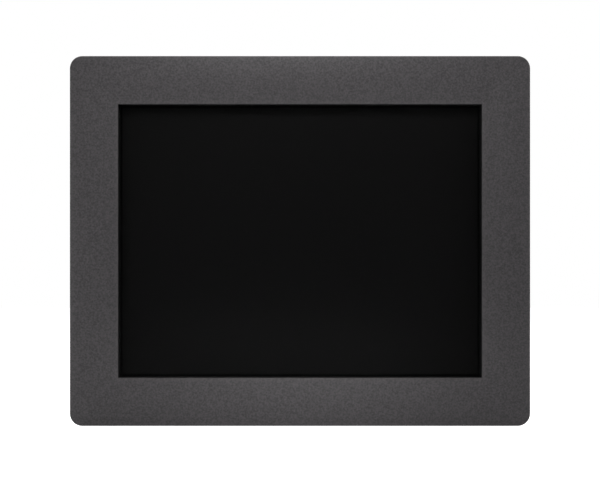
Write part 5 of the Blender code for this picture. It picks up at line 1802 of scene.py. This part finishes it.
@dataclass(frozen=True)
class Connectors:
    """The connectors. Each is drawn on its wall: U along the wall, V away from the board, W inwards.

    Attributes:
        deck: the board's rear face, which the sockets sit on.
        bottom: the bottom wall's outer face.
        proud: how far a socket stands out of its wall.
        lan: width, height and length of a network socket.
        usb: the same for a pair of serial-bus sockets.
        inlet: the same for the power inlet.
        video: the same for the video socket.
        serial_pins: the serial pins' pitch, half the distance of their rows, and the height of their feet.
        jack: how far a jack nut is from the serial connector's middle, and the height of its seat.
    """

    deck: float = 30.9
    bottom: float = -100.0
    proud: float = 0.5
    lan: Triple = (16.0, 13.4, 21.3)
    usb: Triple = (13.3, 15.6, 17.8)
    inlet: Triple = (18.0, 10.4, 13.0)
    video: Triple = (17.6, 7.4, 14.0)
    serial_pins: Triple = (2.77, 1.42, -100.8)
    jack: Point = (12.5, -100.3)

    def build(self) -> None:
        """Makes them all."""
        self.build_inlet(self.place("power_inlet"))
        self.build_video(self.place("video_port"))
        for node in ("lan_port_1", "lan_port_2"):
            self.build_lan(node, self.place(node))
        self.build_usb("usb_ports_bottom", self.place("usb_ports_bottom"))
        low, high = span("usb_ports_side")
        turn = Matrix.Rotation(math.radians(-90), 4, "Y")
        wall = Matrix.Translation((150.0, self.deck, (low.z + high.z) / 2))
        self.build_usb("usb_ports_side", wall @ turn)
        self.build_serial()

    def place(self, node: str) -> Matrix:
        """The drawing's place for a connector in the bottom wall."""
        low, high = span(node)
        return Matrix.Translation(((low.x + high.x) / 2, self.deck, self.bottom))

    def shell(self, name: str, size: Triple, place: Matrix, edge: float = 0.35) -> Piece:
        """A connector's body, standing a little proud of the wall."""
        outline = rounded_rectangle(size[0], size[1], edge, (0.0, size[1] / 2), 3)
        return Piece(name, plate([outline], rounded_levels(-self.proud, size[2] - self.proud, 0.2), place))

    def contacts(self, name: str, spots: Sequence[Point], size: Triple, depth: float, place: Matrix) -> None:
        """A row of gold contacts.

        Args:
            name: the piece's name.
            spots: where each one is.
            size: each one's width, height and length.
            depth: how far in they start.
            place: the connector's place.
        """
        width, height, length = size
        edge = min(width, height) / 4
        corner = Vector((width / 2, height / 2, 0.0))
        blade = Piece("blade", block(-corner, corner + Vector((0.0, 0.0, length)), edge, 1))
        row = set_out("row", blade, [(u, v, depth) for u, v in spots], Way.AS_MADE, GOLD)
        row.copied(name, place).finish("root", GOLD)
        row.discard()

    def build_inlet(self, place: Matrix) -> None:
        """The power inlet: a keyed moulded socket with three pins.

        Args:
            place: its place.
        """
        body = self.shell("inlet_body", self.inlet, place, 0.8)
        keyed = [(-7.8, 1.2), (7.8, 1.2), (7.8, 7.4), (6.9, 7.4), (6.9, 9.2)]
        keyed += [(-6.9, 9.2), (-6.9, 7.4), (-7.8, 7.4)]
        body.cut(plate([keyed], [(-2.0, -0.2), (-0.5, -0.2), (-0.2, 0.0), (9.0, 0.0)], place))
        body.finish("root", NYLON, "power_inlet")
        spots = [(5.08 * i, 5.0) for i in (-1, 0, 1)]
        self.contacts("inlet_pins", spots, (1.0, 1.0, 8.4), 0.8, place)

    def build_video(self, place: Matrix) -> None:
        """The video socket: a drawn shell with chamfered lower corners and its tongue.

        Args:
            place: its place.
        """
        shell = self.shell("video_shell", self.video, place, 1.0)
        corners = [(-6.2, 1.2), (6.2, 1.2), (8.1, 2.9), (8.1, 6.2), (-8.1, 6.2), (-8.1, 2.9)]
        mouth = rounded_polygon(corners, 0.5)
        shell.cut(plate([mouth], [(-2.0, -0.2), (-0.5, -0.2), (-0.2, 0.0), (7.5, 0.0)], place))
        shell.finish("root", NICKEL, "video_port")
        tongue = rounded_rectangle(12.0, 1.6, 0.3, (0.0, 3.9), 2)
        levels = rounded_levels(0.6, 7.6, 0.2)
        Piece("video_tongue", plate([tongue], levels, place)).finish("root", NYLON)
        spots = [(0.6 * (i - 8.5), 3.05) for i in range(18)]
        self.contacts("video_contacts", spots, (0.3, 0.14, 5.6), 1.2, place)

    def build_lan(self, node: str, place: Matrix) -> None:
        """A network socket: shell, moulded insert with its latch step, contacts and two light guides.

        Args:
            node: the CAD node.
            place: its place.
        """
        height = self.lan[1]
        shell = self.shell(f"{node}_shell", self.lan, place)
        window = rounded_rectangle(14.8, 12.2, 0.3, (0.0, height / 2), 2)
        shell.cut(plate([window], [(-2.0, 0.0), (14.0, 0.0)], place))
        shell.finish("root", NICKEL, node)
        filling = rounded_rectangle(14.7, 12.1, 0.3, (0.0, height / 2), 2)
        insert = Piece(f"{node}_insert", plate([filling], rounded_levels(-0.3, 13.8, 0.15), place))
        steps = [(-5.95, 4.2), (-3.1, 4.2), (-3.1, 2.9), (-2.0, 2.9), (-2.0, 1.6), (2.0, 1.6)]
        steps += [(2.0, 2.9), (3.1, 2.9), (3.1, 4.2), (5.95, 4.2), (5.95, 11.0), (-5.95, 11.0)]
        insert.cut(plate([steps], [(-2.0, 0.0), (12.0, 0.0)], place))
        insert.finish("root", NYLON)
        spots = [(1.02 * (i - 3.5), 10.3) for i in range(8)]
        self.contacts(f"{node}_contacts", spots, (0.45, 0.45, 9.0), 1.5, place)
        for name, u, finish in (("green", -5.4, GREEN_LENS), ("amber", 5.4, AMBER_LENS)):
            lens = rounded_rectangle(2.6, 1.7, 0.3, (u, 1.9), 3)
            guide = Piece(f"{node}_{name}_guide", plate([lens], rounded_levels(-0.45, 6.0, 0.15), place))
            guide.finish("root", finish)

    def build_usb(self, node: str, place: Matrix) -> None:
        """Two stacked serial-bus sockets in one folded shell.

        Args:
            node: the CAD node.
            place: its place.
        """
        shell = self.shell(f"{node}_shell", self.usb, place)
        lifts = (1.3, 9.3)
        mouths = [rounded_rectangle(12.0, 5.0, 0.35, (0.0, lift + 2.5), 3) for lift in lifts]
        flared = [(-2.0, -0.25), (-0.5, -0.25), (-0.1, 0.0), (10.5, 0.0)]
        shell.cut(*(plate([mouth], flared, place) for mouth in mouths))
        shell.finish("root", NICKEL, node)
        tongues = []
        for lift in lifts:
            tongue = rounded_rectangle(11.0, 1.9, 0.25, (0.0, lift + 1.85), 2)
            tongues.append(plate([tongue], rounded_levels(0.7, 10.6, 0.2), place))
        Piece(f"{node}_tongues", gathered(tongues)).finish("root", BLUE_NYLON)
        spots = [(2.3 * (i - 1.5), lift + 2.85) for lift in lifts for i in range(4)]
        self.contacts(f"{node}_contacts", spots, (1.1, 0.16, 7.6), 1.5, place)

    def build_serial(self) -> None:
        """The nine-pin serial connector: its D-shaped shell, insulator, pins and jack nuts."""
        low, high = span("serial_port")
        x, y = (low.x + high.x) / 2, (low.y + high.y) / 2
        place = Matrix.Translation((x, y, self.bottom))
        flange = rounded_rectangle(30.8, high.y - low.y, 1.2, (0.0, 0.0), 3)
        port = Piece("serial_flange", plate([flange], rounded_levels(1.8, 2.8, 0.2), place))
        tip, depth = -5.5, 5.0
        corners = [(-7.0, -4.6), (7.0, -4.6), (8.6, 4.6), (-8.6, 4.6)]
        outer = rounded_polygon(corners, 2.2, 6)
        port.join(plate([outer], rounded_levels(tip, 10.8, 0.3, 0.2), place))
        inner = [tuple(point) for point in inset_loop(outer, 0.6)]
        flared = [(tip - 1.0, -0.2), (tip, -0.2), (tip + 0.2, 0.0), (tip + depth, 0.0)]
        port.cut(plate([inner], flared, place))
        port.finish("root", NICKEL, "serial_port")
        core = [tuple(point) for point in inset_loop(outer, 0.65)]
        levels = rounded_levels(tip + depth - 0.4, tip + depth + 0.1, 0.15, 0.0)
        Piece("serial_insulator", plate([core], levels, place)).finish("root", NYLON)
        profile = [(0.0, 4.4), (0.25, 4.35), (0.45, 4.0), (0.5, 3.6), (0.5, 0.0), (0.0, 0.0)]
        pin = Piece("pin", lathe(profile, 14))
        pitch, row, foot = self.serial_pins
        spots = [(x + pitch * (i - 2), y + row, foot) for i in range(5)]
        spots += [(x + pitch * (i - 1.5), y - row, foot) for i in range(4)]
        set_out("serial_pins", pin, spots, Way.TO_BOTTOM, GOLD).finish("root", GOLD)
        nut = Piece("jack", plate([circle(2.7, steps=6)], rounded_levels(0.0, 5.6, 0.2, 0.4), Matrix()))
        nut.cut(lathe([(0.0, 6.0), (1.6, 6.0), (1.6, 5.6), (1.25, 5.3), (1.25, 1.6), (0.0, 1.6)], 24))
        jacks = [(x + i * self.jack[0], y, self.jack[1]) for i in (-1, 1)]
        set_out("serial_jacks", nut, jacks, Way.TO_BOTTOM, ZINC).finish("root", ZINC)


@dataclass(frozen=True)
class Boards:
    """The boards and what cools and backs them up, inside the housings."""

    screw_seat: float = 30.65
    housing: DisplayHousing = DisplayHousing()

    def build(self, frame: Frame) -> None:
        """Dresses them and adds the board's screws.

        Args:
            frame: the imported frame's nodes.
        """
        frame.dress(BOARD, "main_board", "memory_module")
        frame.dress(BOARD, "touch_controller_board", "backlight_driver_board", "button_board")
        frame.dress(CELL_CAN, "backup_battery")
        frame.dress(ANODISED, "heat_spreader")
        short = Screw(1.5, 0.5, 5.0, 2.8, 1.9)
        places = [(x, self.screw_seat, z) for x, z in self.housing.pillars]
        set_out("board_screws", short.make("board_screw"), places, Way.TO_REAR, ZINC).finish("root", ZINC)


@dataclass(frozen=True)
class Softbox:
    """A soft lamp, in metres and watts.

    Attributes:
        name: the lamp's name.
        place: where it stands.
        aim: what it points at.
        size: its width and height.
        power: its power.
    """

    name: str
    place: Triple
    aim: Triple
    size: Point
    power: float

    def build(self) -> None:
        """Makes the lamp."""
        lamp = bpy.data.lights.new(self.name, "AREA")
        lamp.shape = "RECTANGLE"
        lamp.size, lamp.size_y = self.size
        lamp.energy = self.power
        made = bpy.data.objects.new(self.name, lamp)
        made.location = self.place
        made.visible_camera = False
        made.rotation_euler = (Vector(self.aim) - Vector(self.place)).to_track_quat("-Z", "Y").to_euler()
        bpy.context.scene.collection.objects.link(made)


@dataclass(frozen=True)
class Studio:
    """The camera, the floor, the sky and the lamps, in metres."""

    camera_distance: float = 1.707
    lens_mm: float = 120.0
    floor_drop: float = 0.0004
    floor_size: float = 6.0
    floor_glow: float = 0.95
    sky_front: float = 0.02
    sky_rear: float = 0.32
    lamps: tuple[Softbox, ...] = (
        Softbox("above_bezel", (0.0, -0.30, 0.40), (0.0, 0.0, 0.1), (0.12, 0.12), 1.08),
        Softbox("left_of_bezel", (-0.70, -0.50, 0.0), (0.0, 0.0, 0.0), (0.3, 0.3), 1.28),
        Softbox("right_of_bezel", (0.90, -0.30, 0.20), (0.0, 0.0, 0.0), (0.4, 0.8), 2.35),
        Softbox("close_to_floor", (0.0, -0.16, -0.05), (0.0, -0.16, -0.2), (0.2, 0.1), 0.2),
        Softbox("rear_left", (-1.3, 1.1, 0.9), (0.0, 0.05, 0.0), (1.0, 1.0), 14.0),
        Softbox("rear_right", (1.2, 1.3, 0.5), (0.0, 0.05, 0.0), (0.7, 1.2), 9.0),
        Softbox("overhead", (0.1, 0.45, 1.6), (0.0, 0.05, 0.0), (1.4, 1.0), 5.0),
    )

    def build(self) -> None:
        """Makes the studio."""
        self.build_camera()
        self.build_floor()
        self.build_sky()
        for lamp in self.lamps:
            lamp.build()
        bpy.context.scene.view_settings.view_transform = "Standard"

    def build_camera(self) -> None:
        """A long lens square to the screen."""
        lens = bpy.data.cameras.new("camera")
        lens.lens = self.lens_mm
        camera = bpy.data.objects.new("camera", lens)
        camera.location = (0.0, -self.camera_distance, 0.0)
        camera.rotation_euler = (math.pi / 2, 0.0, 0.0)
        bpy.context.scene.collection.objects.link(camera)
        bpy.context.scene.camera = camera

    def build_floor(self) -> None:
        """A white floor just under the bezel, lifted towards white for the camera alone."""
        half = self.floor_size / 2
        shape = bmesh.new()
        bmesh.ops.create_grid(shape, x_segments=1, y_segments=1, size=half)
        mesh = bpy.data.meshes.new("floor")
        shape.to_mesh(mesh)
        shape.free()
        mesh.transform(Matrix.Translation((0.0, 0.0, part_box("front_bezel")[0].z - self.floor_drop)))
        floor = bpy.data.objects.new("floor", mesh)
        bpy.context.scene.collection.objects.link(floor)
        paper = bpy.data.materials.new("white_studio_paper")
        paper.use_nodes = True
        tree = paper.node_tree
        shader = tree.nodes["Principled BSDF"]
        shader.inputs["Base Color"].default_value = srgb("ececec")
        shader.inputs["Roughness"].default_value = 0.9
        shader.inputs["Emission Color"].default_value = (1.0, 1.0, 1.0, 1.0)
        seen = add_node(tree, "ShaderNodeLightPath").outputs["Is Camera Ray"]
        glow = add_node(tree, "ShaderNodeMath", {"operation": "MULTIPLY"}, {0: seen, 1: self.floor_glow})
        tree.links.new(glow.outputs[0], shader.inputs["Emission Strength"])
        mesh.materials.append(paper)

    def build_sky(self) -> None:
        """White where it's seen. As a light it's dim in front, for a dark screen, and brighter behind."""
        world = bpy.data.worlds.new("sky")
        bpy.context.scene.world = world
        world.use_nodes = True
        tree = world.node_tree
        seen = add_node(tree, "ShaderNodeLightPath").outputs["Is Camera Ray"]
        way = add_node(tree, "ShaderNodeTexCoord").outputs["Generated"]
        depth = add_node(tree, "ShaderNodeSeparateXYZ", None, {0: way}).outputs[1]
        ends = {"Value": depth, "From Min": -0.6, "From Max": 0.5}
        ends |= {"To Min": self.sky_front, "To Max": self.sky_rear}
        glow = add_node(tree, "ShaderNodeMapRange", {"interpolation_type": "SMOOTHSTEP"}, ends).outputs[0]
        shown = add_node(tree, "ShaderNodeMix", {"data_type": "FLOAT"}, {0: seen, 2: glow, 3: 1.0}).outputs[0]
        background = tree.nodes["Background"]
        background.inputs["Color"].default_value = (1.0, 1.0, 1.0, 1.0)
        tree.links.new(shown, background.inputs["Strength"])


def main() -> None:
    """Builds the computer round its frame, in its studio."""
    logging.basicConfig(level=logging.INFO, format="%(message)s")
    frame = Frame(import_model()["nodes"])
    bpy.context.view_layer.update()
    Studio().build()
    DisplayFront().build(frame)
    DisplayHousing().build()
    Clamps().build()
    ComputerHousing().build()
    RearCover().build()
    HeatSink().build()
    DriveBay().build(frame)
    Switches().build()
    Connectors().build()
    Boards().build(frame)


if __name__ == "__main__":
    main()
